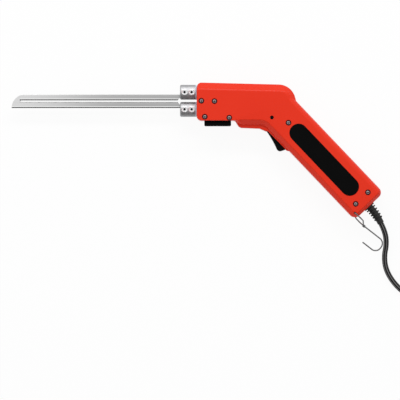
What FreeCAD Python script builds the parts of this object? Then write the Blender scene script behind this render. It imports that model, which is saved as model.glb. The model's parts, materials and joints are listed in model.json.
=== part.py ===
"""Hand-held hot knife: slotted blade, two clamp blocks, bent two-shell housing, trigger, hook and mains cord.

Tool frame: x runs back from the nose along the blade, y up, z across, with z = 0 on the parting plane.
Handle frame: s runs down the handle from the bend point, t across it, towards its back.
"""
import FreeCAD, Part
import math
import os
import re
import Sketcher

SIZES = {
    # Housing outline
    "thickness": 36.0,
    "wall": 3.0,
    "nose_top": 20.1,
    "nose_bottom": 21.8,
    "nose_round": 5.0,
    "top_fall": 3.0,
    "shoulder_x": 104.7,
    "shoulder_round": 18.9,
    "shoulder_drop": 17.2,
    "shoulder_slant": 15.0,
    "kink_round": 4.0,
    "belly_start": 41.0,
    "belly_bottom": 26.2,
    "belly_round": 8.0,
    "bevel": 4.0,
    "bend_x": 79.3,
    "handle_angle": 46.4,
    "handle_width": 43.4,
    "handle_length": 160.2,
    "handle_round": 6.8,
    "grip_bend_round": 12.0,
    # Finger guard under the belly and round the trigger
    "guard_start": 39.9,
    "guard_slope": 57.0,
    "guard_entry_round": 4.0,
    "guard_width": 20.0,
    "guard_drop": 3.5,
    "guard_fall": 0.9,
    "guard_round": 5.0,
    "guard_step": 2.2,
    "guard_end_height": 3.5,
    "lip_height": 2.0,
    "lip_end_height": 1.6,
    # Clamp blocks, washers and bushes
    "clamp_length": 16.9,
    "clamp_height": 16.3,
    "clamp_gap": 2.6,
    "clamp_round": 1.6,
    "washer_thickness": 1.4,
    "shank_radius": 4.5,
    "shank_length": 16.0,
    "strap_screw_x": 12.0,
    "tongue_length": 8.5,
    "bush_radius": 6.3,
    "bush_length": 5.4,
    "set_screw_radius": 2.5,
    "set_screw_pitch": 7.8,
    "set_screw_inset": 5.0,
    "countersink_radius": 3.3,
    "countersink_depth": 0.8,
    "hex_socket": 2.5,
    # Blade
    "blade_reach": 203.8,
    "blade_height": 14.9,
    "blade_slot": 1.7,
    "blade_thickness": 2.0,
    "blade_drop": 0.45,
    "blade_tip_rise": 12.7,
    "blade_tip_solid": 9.2,
    "blade_edge_bevel": 0.7,
    "tang_height": 3.6,
    "tang_taper": 2.6,
    "tang_length": 15.5,
    "tang_pad": 4.4,
    "tang_shoulder": 1.5,
    "blade_tip_round": 15.0,
    # Screws
    "screw_radius": 1.5,
    "screw_head_radius": 2.4,
    "screw_head_height": 1.5,
    "screw_recess_radius": 3.1,
    "screw_recess_depth": 2.2,
    "screw_length": 24.0,
    "boss_radius": 2.8,
    "nose_screw_x": 5.2,
    "second_screw_x": 19.6,
    "nose_screw_drop": 0.3,
    "second_screw_drop": 0.7,
    "front_screw_x": 9.0,
    "front_screw_drop": 17.8,
    "belly_screw_x": 35.8,
    "belly_screw_drop": 18.9,
    "grip_screw_along": 32.5,
    "grip_screw_across": 1.25,
    "end_screw_inset": 12.2,
    "end_screw_pitch": 18.4,
    # Guide rail
    "rail_start": 8.5,
    "rail_length": 29.4,
    "rail_height": 6.1,
    "rail_width": 18.0,
    "rail_neck_width": 12.0,
    "rail_neck_height": 2.4,
    "rail_round": 1.4,
    "rail_screw_spread": 6.6,
    "rail_screw_inset": 7.6,
    # Trigger, its pin and the switch
    "pin_along": 15.7,
    "pin_across": 10.35,
    "pin_radius": 1.85,
    "trigger_width": 12.0,
    "trigger_reach": 38.4,
    "trigger_top": 22.3,
    "trigger_top_out": 24.6,
    "trigger_tip_out": 31.3,
    "trigger_face_round": 110.0,
    "trigger_tip_round": 4.0,
    "trigger_back": 9.0,
    "trigger_boss": 5.0,
    "switch_along": 36.5,
    "switch_length": 22.0,
    "switch_across": 2.0,
    "switch_height": 12.0,
    "switch_width": 14.0,
    "plunger_along": 44.0,
    "plunger_radius": 2.0,
    "plunger_travel": 4.6,
    "plunger_grip": 2.0,
    # Transformer and its heavy secondary strap
    "core_x": 26.0,
    "core_length": 44.0,
    "core_height": 29.4,
    "core_depth": 14.0,
    "core_limb": 3.0,
    "bobbin_wall": 0.8,
    "winding_height": 4.2,
    "strap_thickness": 2.0,
    "strap_width": 6.2,
    "strap_place": 0.84375,
    "strap_foot_width": 12.0,
    "strap_foot_x": 42.0,
    "strap_screw_radius": 1.5,
    "terminal_thickness": 2.4,
    # Label
    "label_along": 38.3,
    "label_across": 0.85,
    "label_length": 101.4,
    "label_width": 20.0,
    "label_recess": 0.6,
    # Hook
    "wire_radius": 0.75,
    "hook_hole_inset": 5.7,
    "hook_hole_edge": 5.1,
    "hook_recess_radius": 9.5,
    "hook_recess_depth": 1.9,
    "hook_side": 14.7,
    "hook_drop": 48.7,
    "hook_bend": 7.5,
    "hook_point": 12.0,
    "hook_angle": 37.8,
    "hook_shank": 22.5,
    "hook_front_turn": 3.3,
    "hook_rear_turn": 22.0,
    "hook_over": 8.0,
    "hook_eye_bend": 1.5,
    "hook_hole_play": 0.6,
    # Strain relief, cord and plug
    "cord_radius": 3.0,
    "relief_length": 23.0,
    "relief_bend": 21.0,
    "relief_roll": 42.0,
    "relief_core": 3.7,
    "relief_ribs": 5,
    "relief_flange": 6.2,
    "relief_flange_thickness": 2.0,
    "relief_rib": 5.85,
    "relief_rib_end": 4.9,
    "relief_rib_thickness": 1.1,
    "relief_rib_pitch": 3.35,
    "relief_collar_radius": 6.4,
    "relief_collar": 1.65,
    "relief_neck": 4.6,
    "cord_tail_length": 24.0,
    "cord_clamp_inset": 24.0,
    "cord_clamp_width": 6.0,
    "lead_radius": 1.1,
    "coil_radius": 36.0,
    "coil_bundle": 10.0,
    "coil_x": 290.0,
    "coil_y": -108.0,
    "tie_width": 9.0,
    "tie_thickness": 0.9,
    "plug_length": 36.0,
    "plug_width": 25.0,
    "plug_height": 17.0,
    "plug_round": 3.0,
    "plug_turn": 49.4,
    "plug_neck": 12.0,
    "plug_neck_radius": 5.5,
    "prong_length": 17.0,
    "prong_width": 6.3,
    "prong_thickness": 1.5,
    "prong_pitch": 12.7,
    # Fits
    "running_fit": 0.06,
    "sliding_fit": 0.1,
    "free_gap": 0.4,
    "seat_gap": 0.3,
}

# Middle of the tool in the tool frame, halfway between its furthest points
HANDLE_END_X = "(bend_x + handle_length * cos(handle_angle))"
HANDLE_END_Y = "(-handle_length * sin(handle_angle))"
HOOK_FAR_X = f"({HANDLE_END_X} + hook_side)"
HOOK_LOW_Y = f"({HANDLE_END_Y} - hook_drop)"
MIDDLE_X = f"(({HOOK_FAR_X} + wire_radius - blade_reach) / 2)"
MIDDLE_Y = f"((nose_top + {HOOK_LOW_Y} - wire_radius) / 2)"
HALF = "(thickness / 2)"
INNER = "(thickness / 2 - wall)"
HEAD_FLOOR = f"{HALF} - screw_recess_depth"
SHANK_Y = "(clamp_gap / 2 + clamp_height / 2)"
PIN = ("pin_along", "-pin_across")

# The cord's route from the strain relief to the coil, and from the coil to the plug, in the finished frame
CORD_ROUTE = [
    (202.3, -61.8, 15.2),
    (207.2, -71.0, 12.6),
    (209.2, -84.9, 8.6),
    (206.6, -98.6, 5.2),
    (208.4, -112.9, 3.4),
    (215.6, -126.2, 3.1),
    (228.0, -136.0, 3.1),
    (243.4, -141.4, 3.1),
    (260.0, -144.4, 4.8),
    (276.0, -144.9, 8.2),
    (290.0, -144.0, 11.0),
]
PLUG_ROUTE = [
    (326.0, -108.0, 11.0),
    (325.5, -95.5, 9.8),
    (326.6, -82.5, 8.9),
    (330.9, -69.1, 8.5),
    (340.0, -58.5, 8.5),
]

document = FreeCAD.newDocument("hot_wire_cutter")
sheet = document.addObject("Spreadsheet::Sheet", "Sizes")
for row, (alias, number) in enumerate(SIZES.items(), start=1):
    sheet.set(f"A{row}", alias)
    sheet.set(f"B{row}", str(number))
    sheet.setAlias(f"B{row}", alias)
document.recompute()


def bound(formula):
    """The formula with each size name pointed at its cell."""

    def cell(word):
        return f"Sizes.{word[0]}" if word[0] in SIZES else word[0]

    return re.sub(r"[a-z][a-z_]*", cell, str(formula))


def value(formula):
    """The number that a formula gives with the sheet's sizes."""
    return float(sheet.evalExpression(bound(formula)))


def on_handle(along, across):
    """Tool-frame x and y formulas of a point given down and across the handle."""
    x = f"(bend_x + ({along}) * cos(handle_angle) + ({across}) * sin(handle_angle))"
    y = f"(({across}) * cos(handle_angle) - ({along}) * sin(handle_angle))"
    return x, y


def place(item, base=("0", "0", "0"), handle=False):
    """Seat a finished piece in the part's frame, turned if it was built in the handle's frame."""
    x, y, z = base
    item.setExpression("Placement.Base.z", bound(f"{HALF} + {z}"))
    if handle:
        x, y = on_handle(x, y)
        item.setExpression("Placement.Rotation.Axis.x", "0")
        item.setExpression("Placement.Rotation.Axis.y", "0")
        item.setExpression("Placement.Rotation.Axis.z", "1")
        item.setExpression("Placement.Rotation.Angle", bound("-handle_angle"))
    item.setExpression("Placement.Base.x", bound(f"{x} - {MIDDLE_X}"))
    item.setExpression("Placement.Base.y", bound(f"{y} - {MIDDLE_Y}"))
    return item


def new_body(name):
    """An empty body whose label names its node."""
    body = document.addObject("PartDesign::Body", name)
    body.Label = name
    return body


def new_sketch(body, plane, lift, handle):
    """An empty sketch on an origin plane, lifted along its normal and turned down the handle if asked."""
    sketch = body.newObject("Sketcher::SketchObject", f"{body.Name}_sketch")
    support = [feature for feature in body.Origin.OriginFeatures if feature.Role == plane][0]
    sketch.AttachmentSupport = [(support, "")]
    sketch.MapMode = "FlatFace"
    sketch.setExpression("AttachmentOffset.Base.z", bound(lift))
    if handle:
        sketch.setExpression("AttachmentOffset.Base.x", bound("bend_x"))
        sketch.setExpression("AttachmentOffset.Rotation.Axis.x", "0")
        sketch.setExpression("AttachmentOffset.Rotation.Axis.y", "0")
        sketch.setExpression("AttachmentOffset.Rotation.Axis.z", "1")
        sketch.setExpression("AttachmentOffset.Rotation.Angle", bound("-handle_angle"))
    return sketch


def pin_point(sketch, geometry, end, x, y):
    """Hold a sketch point at the distances that two formulas give from the sketch's origin."""
    for kind, formula in (("DistanceX", x), ("DistanceY", y)):
        index = sketch.addConstraint(Sketcher.Constraint(kind, -1, 1, geometry, end, value(formula)))
        sketch.setExpression(f"Constraints[{index}]", bound(formula))


def side_of(start, finish, radius):
    """A straight side, or an arc that turns left for a positive radius and right for a negative one."""
    first = FreeCAD.Vector(*start, 0)
    last = FreeCAD.Vector(*finish, 0)
    if not radius:
        return Part.LineSegment(first, last)
    chord = last - first
    rise = math.copysign(math.sqrt(radius ** 2 - chord.Length ** 2 / 4), radius)
    normal = FreeCAD.Vector(-chord.y, chord.x, 0).normalize()
    centre = (first + last) * 0.5 + normal * rise
    angles = [math.atan2(point.y - centre.y, point.x - centre.x) for point in (first, last)]
    if radius < 0:
        angles.reverse()
    return Part.ArcOfCircle(Part.Circle(centre, FreeCAD.Vector(0, 0, 1), abs(radius)), *angles)


def outline(body, points, lift="0", plane="XY_Plane", handle=False):
    """A closed sketch through (x, y) points; a third item bends the side that leaves the point."""
    sketch = new_sketch(body, plane, lift, handle)
    corners = [(value(point[0]), value(point[1])) for point in points]
    bends = [point[2] if len(point) > 2 else None for point in points]
    ends = []
    for index, bend in enumerate(bends):
        finish = corners[(index + 1) % len(corners)]
        radius = value(bend) if bend else None
        number = sketch.addGeometry(side_of(corners[index], finish, radius))
        ends.append((number, (2, 1) if radius and radius < 0 else (1, 2)))
        if bend:
            constraint = sketch.addConstraint(Sketcher.Constraint("Radius", number, abs(radius)))
            sketch.setExpression(f"Constraints[{constraint}]", bound(f"abs({bend})"))
    for index, (number, (start, finish)) in enumerate(ends):
        following, (next_start, _) = ends[(index + 1) % len(ends)]
        sketch.addConstraint(Sketcher.Constraint("Coincident", number, finish, following, next_start))
        pin_point(sketch, number, start, points[index][0], points[index][1])
    return sketch


def pad(body, sketch, length, side=1):
    """Add material above the sketch, or below it for side -1."""
    feature = body.newObject("PartDesign::Pad", f"{body.Name}_pad")
    feature.Profile = sketch
    feature.setExpression("Length", bound(length))
    feature.Reversed = side < 0
    document.recompute()
    return feature


def turned(body, sketch, kind, axis="H_Axis"):
    """Revolve a sketch once round one of its own axes, as a Revolution or a Groove."""
    feature = body.newObject(f"PartDesign::{kind}", f"{body.Name}_turned")
    feature.Profile = sketch
    feature.ReferenceAxis = (sketch, [axis])
    feature.Angle = 360
    document.recompute()
    return feature


def edges_where(body, test):
    """Names of the body's edges that pass a test."""
    return [f"Edge{number}" for number, edge in enumerate(body.Shape.Edges, start=1) if test(edge)]


def upright_at(x, y):
    """Test for the edge that stands along z at a point."""
    spot = FreeCAD.Vector(value(x), value(y), 0)

    def test(edge):
        ends = [vertex.Point for vertex in edge.Vertexes]
        return len(ends) == 2 and all(math.hypot(end.x - spot.x, end.y - spot.y) < 0.01 for end in ends)

    return test


def dress(body, kind, edges, size):
    """Fillet or chamfer named edges of the body's tip."""
    base = body.Tip
    feature = body.newObject(f"PartDesign::{kind}", f"{body.Name}_{kind.lower()}")
    feature.Base = (base, edges)
    feature.setExpression("Radius" if kind == "Fillet" else "Size", bound(size))
    document.recompute()
    return feature


def turn_and_move(item, axis, angle, base):
    """Bind a shape's place in its own frame."""
    for letter, part in zip("xyz", axis):
        item.setExpression(f"Placement.Rotation.Axis.{letter}", bound(part))
    item.setExpression("Placement.Rotation.Angle", bound(angle))
    for letter, start in zip("xyz", base):
        item.setExpression(f"Placement.Base.{letter}", bound(start))
    return item


def box(name, low, high, handle=False):
    """A box between two corners given as formulas, along the blade or down the handle."""
    item = document.addObject("Part::Box", name)
    for side, start, end in zip(("Length", "Width", "Height"), low, high):
        item.setExpression(side, bound(f"({end}) - ({start})"))
    if handle:
        return turn_and_move(item, (0, 0, 1), "-handle_angle", (*on_handle(low[0], low[1]), low[2]))
    return turn_and_move(item, (0, 0, 1), 0, low)


def rod(name, radius, length, base, axis="z"):
    """A cylinder from its base point along x, y or z, or down the handle for axis s and across it for t."""
    item = document.addObject("Part::Cylinder", name)
    item.setExpression("Radius", bound(radius))
    item.setExpression("Height", bound(length))
    turns = {
        "x": ((0, 1, 0), 90),
        "y": ((1, 0, 0), -90),
        "z": ((0, 0, 1), 0),
        "s": (("sin(handle_angle)", "cos(handle_angle)", 0), 90),
        "t": (("-cos(handle_angle)", "sin(handle_angle)", 0), 90),
    }
    return turn_and_move(item, *turns[axis], base)


def joined(name, items):
    """One object of several shapes, fused where they touch."""
    item = document.addObject("Part::MultiFuse", name)
    item.Shapes = items
    item.Label = name
    return item


def less(name, base, tools):
    """A shape with tool shapes cut away."""
    item = document.addObject("Part::Cut", name)
    item.Base = base
    item.Tool = tools[0] if len(tools) == 1 else joined(f"{name}_tools", tools)
    item.Label = name
    return item


def rounded_path(points, limit=math.inf):
    """Straight runs joined by tangent arcs no larger than a limit, with the radius of each arc."""
    points = [FreeCAD.Vector(*point) for point in points]
    edges = []
    radii = []
    start = points[0]
    for before, corner, after in zip(points, points[1:], points[2:]):
        back = (before - corner).normalize()
        onward = (after - corner).normalize()
        half_turn = (math.pi - back.getAngle(onward)) / 2
        cut = 0.45 * min((before - corner).Length, (after - corner).Length)
        radius = min(cut / math.tan(half_turn), limit)
        cut = radius * math.tan(half_turn)
        first = corner + back * cut
        last = corner + onward * cut
        inward = (back + onward).normalize()
        middle = corner + inward * (radius / math.cos(half_turn) - radius)
        edges.append(Part.LineSegment(start, first).toShape())
        edges.append(Part.Arc(first, middle, last).toShape())
        radii.append(radius)
        start = last
    edges.append(Part.LineSegment(start, points[-1]).toShape())
    return Part.Wire(edges), radii


def tube(points, radius, limit=math.inf):
    """A round bar along a rounded path, with its length and the radii of its bends."""
    path, radii = rounded_path(points, limit)
    direction = FreeCAD.Vector(*points[1]) - FreeCAD.Vector(*points[0])
    ring = Part.Wire(Part.makeCircle(radius, FreeCAD.Vector(*points[0]), direction))
    solid = path.makePipeShell([ring], True, False)
    expected = math.pi * radius ** 2 * path.Length
    if abs(solid.Volume / expected - 1) > 0.01:
        raise ValueError("a bar's volume is not its section times its length")
    return solid, path.Length, radii


def shaped(name, solid):
    """A piece whose shape the code has made."""
    item = document.addObject("Part::Feature", name)
    item.Label = name
    item.Shape = solid
    return item


# Places of the seven housing screws: four in the nose, three in the handle
NOSE_SCREWS = [
    ("nose_screw_x", "-nose_screw_drop"),
    ("second_screw_x", "-second_screw_drop"),
    ("front_screw_x", "-front_screw_drop"),
    ("belly_screw_x", "-belly_screw_drop"),
]
END_SCREW_S = "(handle_length - end_screw_inset)"
GRIP_SCREWS = [
    ("grip_screw_along", "-grip_screw_across"),
    (END_SCREW_S, "end_screw_pitch / 2"),
    (END_SCREW_S, "-end_screw_pitch / 2"),
]
SCREWS = NOSE_SCREWS + [on_handle(*place_on_handle) for place_on_handle in GRIP_SCREWS]
HOOK_HOLE = ("handle_length - hook_hole_inset", "hook_hole_edge - handle_width / 2")
CLAMP_S = "(handle_length - cord_clamp_inset)"
CLAMP_SCREWS = [
    (CLAMP_S, "cord_radius + boss_radius + seat_gap"),
    (CLAMP_S, "-cord_radius - boss_radius - seat_gap"),
]


def main_outline(inset="0"):
    """Corners of the housing's profile, counter-clockwise from the nose, each with its rounding."""
    edge = f"(handle_width / 2 - {inset})"
    lean = f"{inset} / cos(shoulder_slant)"
    kink_x = f"(shoulder_x + shoulder_drop * tan(shoulder_slant) - {lean})"
    kink_y = f"({edge} - ({kink_x} - bend_x) * sin(handle_angle)) / cos(handle_angle)"
    belly = f"(belly_bottom - {inset})"
    crook_x = f"bend_x + ({belly} * cos(handle_angle) - {edge}) / sin(handle_angle)"
    floor = f"-(nose_bottom - {inset})"
    return [
        (inset, floor, f"nose_round - {inset}"),
        (f"belly_start + {inset} / 2", floor, None),
        (f"belly_start + belly_round + {inset} / 2", f"-{belly}", f"belly_round - {inset}"),
        (crook_x, f"-{belly}", f"grip_bend_round + {inset}"),
        (*on_handle(f"handle_length - {inset}", f"-{edge}"), f"handle_round - {inset}"),
        (*on_handle(f"handle_length - {inset}", edge), f"handle_round - {inset}"),
        (kink_x, kink_y, f"kink_round + {inset}"),
        (f"shoulder_x + {inset} * tan(shoulder_slant) - {lean}", f"nose_top - top_fall - {inset}",
         f"shoulder_round - {inset}"),
        (inset, f"nose_top - {inset}", f"nose_round - {inset}"),
    ]


def profile_block(name, inset, height, bevel, side):
    """The housing's profile as a block on the parting plane, with its outer rim bevelled."""
    body = new_body(name)
    corners = main_outline(inset)
    pad(body, outline(body, [corner[:2] for corner in corners]), height, side)
    for x, y, radius in corners:
        if radius:
            dress(body, "Fillet", edges_where(body, upright_at(x, y)), radius)
    level = side * value(height)
    rim = edges_where(body, lambda edge: all(abs(vertex.Z - level) < 0.001 for vertex in edge.Vertexes))
    dress(body, "Chamfer", rim, bevel)
    return body


def guard_outline():
    """Corners of the narrow guard under the belly and of the lip beside the trigger."""
    low = "-(belly_bottom + guard_drop)"
    fallen = f"({low} - guard_fall)"
    lip = "-(handle_width / 2 + lip_height)"
    lip_end = "-(handle_width / 2 + lip_end_height)"
    guard_end = "-(handle_width / 2 + guard_end_height)"
    inside = "wall - handle_width / 2"
    step_x = on_handle("pin_along", guard_end)[0]
    entry_x = "(guard_start + guard_entry_round * sin(guard_slope))"
    entry_y = "(-nose_bottom - guard_entry_round * (1 - cos(guard_slope)))"
    return [
        ("guard_start", "-nose_bottom", "-guard_entry_round"),
        (entry_x, entry_y),
        (f"{entry_x} + ({entry_y} - ({low})) / tan(guard_slope)", low),
        (f"{step_x} - guard_step", fallen),
        (step_x, f"{fallen} - guard_step / 2"),
        on_handle("trigger_top", guard_end),
        on_handle("trigger_top + guard_end_height - lip_height", lip),
        on_handle("pin_along + trigger_reach", lip_end),
        on_handle("pin_along + trigger_reach + lip_end_height", "-handle_width / 2"),
        on_handle("pin_along + trigger_reach", inside),
        on_handle("trigger_top", inside),
        (f"{step_x} - guard_step", "wall - belly_bottom"),
        ("belly_start + belly_round + wall", "wall - belly_bottom"),
        ("belly_start", "wall / 2 - nose_bottom"),
        ("guard_start", "wall / 2 - nose_bottom"),
    ]


def guard_block(name, side):
    """The narrow guard and lip as a block on the parting plane."""
    body = new_body(name)
    corners = guard_outline()
    pad(body, outline(body, corners), "guard_width / 2", side)
    dress(body, "Fillet", edges_where(body, upright_at(*corners[2][:2])), "guard_round")
    return body


def slot_block(name, side):
    """The gap that the trigger swings in, with its far end round the pivot."""
    reach = "(trigger_reach + free_gap)"
    near = "-(handle_width / 2 - wall - 1)"
    far = "-(handle_width / 2 + guard_end_height + 2)"
    along = [f"pin_along + sqrt({reach} ^ 2 - (({across}) + pin_across) ^ 2)" for across in (far, near)]
    body = new_body(name)
    points = [
        ("trigger_top - free_gap", far),
        (along[0], far, reach),
        (along[1], near),
        ("trigger_top - 6", near),
    ]
    pad(body, outline(body, points, handle=True), "trigger_width / 2 + free_gap", side)
    return body


def across_z(side, low, high):
    """Start and length along z of a feature between two heights above or below the parting plane."""
    return f"{low}" if side > 0 else f"-({high})", f"({high}) - ({low})"


def upright(name, radius, at, side, low, high):
    """A cylinder across the tool between two heights from the parting plane, on one side of it."""
    start, length = across_z(side, low, high)
    return rod(name, radius, length, (*at, start))


def slab(name, low, high, side, near, far, handle=False):
    """A box between two heights from the parting plane, on one side of it."""
    start, length = across_z(side, near, far)
    return box(name, (*low, start), (*high, f"{start} + {length}"), handle)


def stadium(name, play, high):
    """The label's bar and its two round ends, from the seat's floor up to a height."""
    radius = "label_width / 2"
    low = f"{HALF} - label_recess"
    ends = (f"label_along + {radius}", f"label_along + label_length - {radius}")
    parts = [upright(f"{name}_end", f"{radius} + {play}", on_handle(along, "-label_across"), 1, low, high)
             for along in ends]
    bar = ((ends[0], f"-label_across - {radius} - {play}"), (ends[1], f"{radius} + {play} - label_across"))
    parts.append(slab(f"{name}_bar", *bar, 1, low, high, True))
    return parts


def shell_bosses(name, side):
    """Screw bosses, the pin's bosses and the ribs that carry the transformer, switch and cord."""
    deep = f"{INNER} + wall / 4"
    parts = [upright(f"{name}_boss", "boss_radius", at, side, 0, deep) for at in SCREWS]
    parts.append(upright(f"{name}_pin_boss", "pin_radius + wall / 2", on_handle(*PIN), side,
                         "trigger_width / 2 + free_gap", deep))
    front_reach = "core_height / 2"
    if side > 0:
        front_reach += " - core_limb - strap_thickness - sliding_fit - 1.5"
    core_end = "core_x + core_length"
    parts.append(slab(f"{name}_front_rib", ("core_x + 0.5", f"-({front_reach})"),
                      ("core_x + 2.5", front_reach), side, "core_depth / 2", deep))
    parts.append(slab(f"{name}_rear_rib", (f"{core_end} - 2.5", "-core_height / 2"),
                      (f"{core_end} - 0.5", "core_height / 2"), side, "core_depth / 2", deep))
    parts.append(slab(f"{name}_switch_rib", ("switch_along + 4", "switch_across + 2"),
                      ("switch_along + switch_length - 4", "switch_across + 4"),
                      side, "switch_width / 2", deep, True))
    if side < 0:
        for at in CLAMP_SCREWS:
            parts.append(upright(f"{name}_clamp_post", "boss_radius", on_handle(*at), side,
                                 "-cord_radius", deep))
        parts.append(slab(f"{name}_cord_rib", (f"{CLAMP_S} - 2", "-cord_radius"),
                          (f"{CLAMP_S} + 2", "cord_radius"), side, "cord_radius", deep, True))
    return parts


def shell_cuts(name, side):
    """What is cut from a shell: holes and openings, the core's room, and the label's and the hook's seats."""
    outer = f"{HALF} + 1"
    cuts = [slot_block(f"{name}_slot", side)]
    room = "(core_height / 2 + seat_gap)"
    cuts.append(slab(f"{name}_core_room", ("core_x - seat_gap", f"-{room}"),
                     ("core_x + core_length + seat_gap", room), side, -1, "core_depth / 2"))
    for at in SCREWS:
        if side > 0:
            cuts.append(upright(f"{name}_recess", "screw_recess_radius", at, side, HEAD_FLOOR, outer))
            cuts.append(upright(f"{name}_hole", "screw_radius + seat_gap", at, side, -1, outer))
        else:
            cuts.append(upright(f"{name}_hole", "screw_radius + running_fit", at, side, -1,
                                "screw_length - thickness / 2 + screw_recess_depth + screw_head_height"))
    cuts.append(upright(f"{name}_pin_hole", "pin_radius + running_fit", on_handle(*PIN), side, 0, outer))
    for level in (SHANK_Y, f"-{SHANK_Y}"):
        cuts.append(rod(f"{name}_bush_hole", "bush_radius + sliding_fit", "wall + 2", (-1, level, 0), "x"))
    relief = on_handle("handle_length - wall - 1", 0)
    cuts.append(rod(f"{name}_relief_hole", "relief_neck + sliding_fit", "wall + 2", (*relief, 0), "s"))
    cuts.append(upright(f"{name}_hook_hole", "wire_radius + hook_hole_play", on_handle(*HOOK_HOLE),
                        side, -1, outer))
    if side > 0:
        cuts += stadium(f"{name}_label", "sliding_fit", outer)
    else:
        cuts.append(upright(f"{name}_hook_recess", "hook_recess_radius", on_handle(*HOOK_HOLE), side,
                            f"{HALF} - hook_recess_depth", outer))
        for at in CLAMP_SCREWS:
            cuts.append(upright(f"{name}_clamp_hole", "screw_radius + running_fit", on_handle(*at), side,
                                "-cord_radius - 1", "screw_length / 3"))
    for along in ("rail_start + rail_screw_inset", "rail_start + rail_length - rail_screw_inset"):
        cuts.append(rod(f"{name}_rail_hole", "screw_radius + running_fit", "wall + 2",
                        (along, "-nose_bottom - 1", f"{side} * rail_screw_spread / 2"), "y"))
    return cuts


def housing_shell(name, side):
    """One half of the housing, above the parting plane for side 1 and below it for side -1."""
    outside = profile_block(f"{name}_outside", "0", HALF, "bevel", side)
    hollow = profile_block(f"{name}_hollow", "wall", INNER, "bevel / 2", side)
    walls = less(f"{name}_walls", outside, [hollow])
    filled = joined(f"{name}_filled", [walls, guard_block(f"{name}_guard", side), *shell_bosses(name, side)])
    return place(less(name, filled, shell_cuts(name, side)))


CLAMP_RADIUS = "(clamp_height / 2)"
CLAMP_FRONT = "(-washer_thickness - clamp_length)"
BLADE_TOP = "(blade_height / 2 - blade_drop)"
BLADE_LOW = "(-blade_height / 2 - blade_drop)"
SLOT_TOP = "(blade_slot / 2 - blade_drop + 0.1)"
SLOT_LOW = "(-blade_slot / 2 - blade_drop + 0.1)"
SET_SCREWS = [f"{CLAMP_FRONT} + set_screw_inset", f"{CLAMP_FRONT} + set_screw_inset + set_screw_pitch"]


def housing_screws():
    """Seven equal pan-head screws with crossed slots, in from the left shell."""
    parts = []
    slots = []
    for at in SCREWS:
        parts.append(upright("screw_head", "screw_head_radius", at, 1,
                             HEAD_FLOOR, f"{HEAD_FLOOR} + screw_head_height"))
        parts.append(upright("screw_shaft", "screw_radius", at, 1,
                             f"{HEAD_FLOOR} - screw_length", HEAD_FLOOR))
        x, y = at
        low = f"{HEAD_FLOOR} + screw_head_height / 3"
        for wide, tall in (("screw_radius", "0.35"), ("0.35", "screw_radius")):
            slots.append(box("screw_slot", (f"{x} - {wide}", f"{y} - {tall}", low),
                             (f"{x} + {wide}", f"{y} + {tall}", f"{HALF}")))
    return place(less("housing_screws", joined("screw_blanks", parts), slots))


def clamp_block(name, side):
    """A round bar with a blade socket, two screw holes, a shank and a flat tongue for the strap."""
    body = new_body(f"{name}_bar")
    nose = f"{CLAMP_FRONT}"
    profile = [
        (nose, "0"),
        ("shank_length", "0"),
        ("shank_length", "shank_radius"),
        ("-washer_thickness", "shank_radius"),
        ("-washer_thickness", CLAMP_RADIUS),
        (f"{nose} + clamp_round", CLAMP_RADIUS, "clamp_round"),
        (nose, f"{CLAMP_RADIUS} - clamp_round"),
    ]
    turned(body, outline(body, profile), "Revolution")
    body.setExpression("Placement.Base.y", bound(f"{side} * {SHANK_Y}"))
    level = f"{side} * {SHANK_Y}"
    edge = BLADE_TOP if side > 0 else BLADE_LOW
    inner = f"{edge} - {side} * (tang_height + sliding_fit)"
    outer = f"{edge} + {side} * (tang_pad + sliding_fit)"
    socket = (inner, outer) if side > 0 else (outer, inner)
    deep = "blade_thickness / 2 + sliding_fit"
    cuts = [box(f"{name}_socket", (f"{nose} - 1", socket[0], f"-({deep})"),
                (f"{nose} + tang_length + sliding_fit", socket[1], deep))]
    for along in SET_SCREWS:
        cuts.append(rod(f"{name}_hole", "set_screw_radius + running_fit", CLAMP_RADIUS, (along, level, "0")))
        sink = document.addObject("Part::Cone", f"{name}_countersink")
        sink.setExpression("Radius1", bound("set_screw_radius"))
        sink.setExpression("Radius2", bound("2 * countersink_radius - set_screw_radius"))
        sink.setExpression("Height", bound("2 * countersink_depth"))
        cuts.append(turn_and_move(sink, (0, 0, 1), 0, (along, level, f"{CLAMP_RADIUS} - countersink_depth")))
    low, high = (level, f"{level} + shank_radius + 1") if side > 0 else (f"{level} - shank_radius - 1", level)
    cuts.append(box(f"{name}_flat", ("shank_length - tongue_length", low, "-shank_radius - 1"),
                    ("shank_length + 1", high, "shank_radius + 1")))
    cuts.append(rod(f"{name}_strap_hole", "strap_screw_radius + running_fit", "2 * shank_radius + 2",
                    ("strap_screw_x", f"{level} - shank_radius - 1", "0"), "y"))
    return place(less(name, body, cuts))


def set_screws():
    """Four equal grub screws with hexagon sockets, two to a clamp block, against the blade's tangs."""
    blanks = []
    sockets = []
    top = f"{CLAMP_RADIUS} - countersink_depth"
    low = "blade_thickness / 2 + sliding_fit"
    for level in (SHANK_Y, f"-{SHANK_Y}"):
        for along in SET_SCREWS:
            blanks.append(rod("grub_screw", "set_screw_radius", f"{top} - ({low})", (along, level, low)))
            socket = document.addObject("Part::Prism", "grub_socket")
            socket.setExpression("Circumradius", bound("hex_socket / sqrt(3)"))
            socket.setExpression("Height", bound("hex_socket + 1"))
            sockets.append(turn_and_move(socket, (0, 0, 1), 0, (along, level, f"{top} - hex_socket")))
    return place(less("set_screws", joined("grub_screws", blanks), sockets))


def insulating_washers():
    """Two equal washers between the clamp blocks and the nose."""
    levels = (SHANK_Y, f"-{SHANK_Y}")
    discs = []
    bores = []
    for level in levels:
        discs.append(rod("washer", CLAMP_RADIUS, "washer_thickness", ("-washer_thickness", level, "0"), "x"))
        bores.append(rod("washer_bore", "shank_radius + running_fit", "washer_thickness + 2",
                         ("-washer_thickness - 1", level, "0"), "x"))
    return place(less("insulating_washers", joined("washers", discs), bores))


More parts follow.
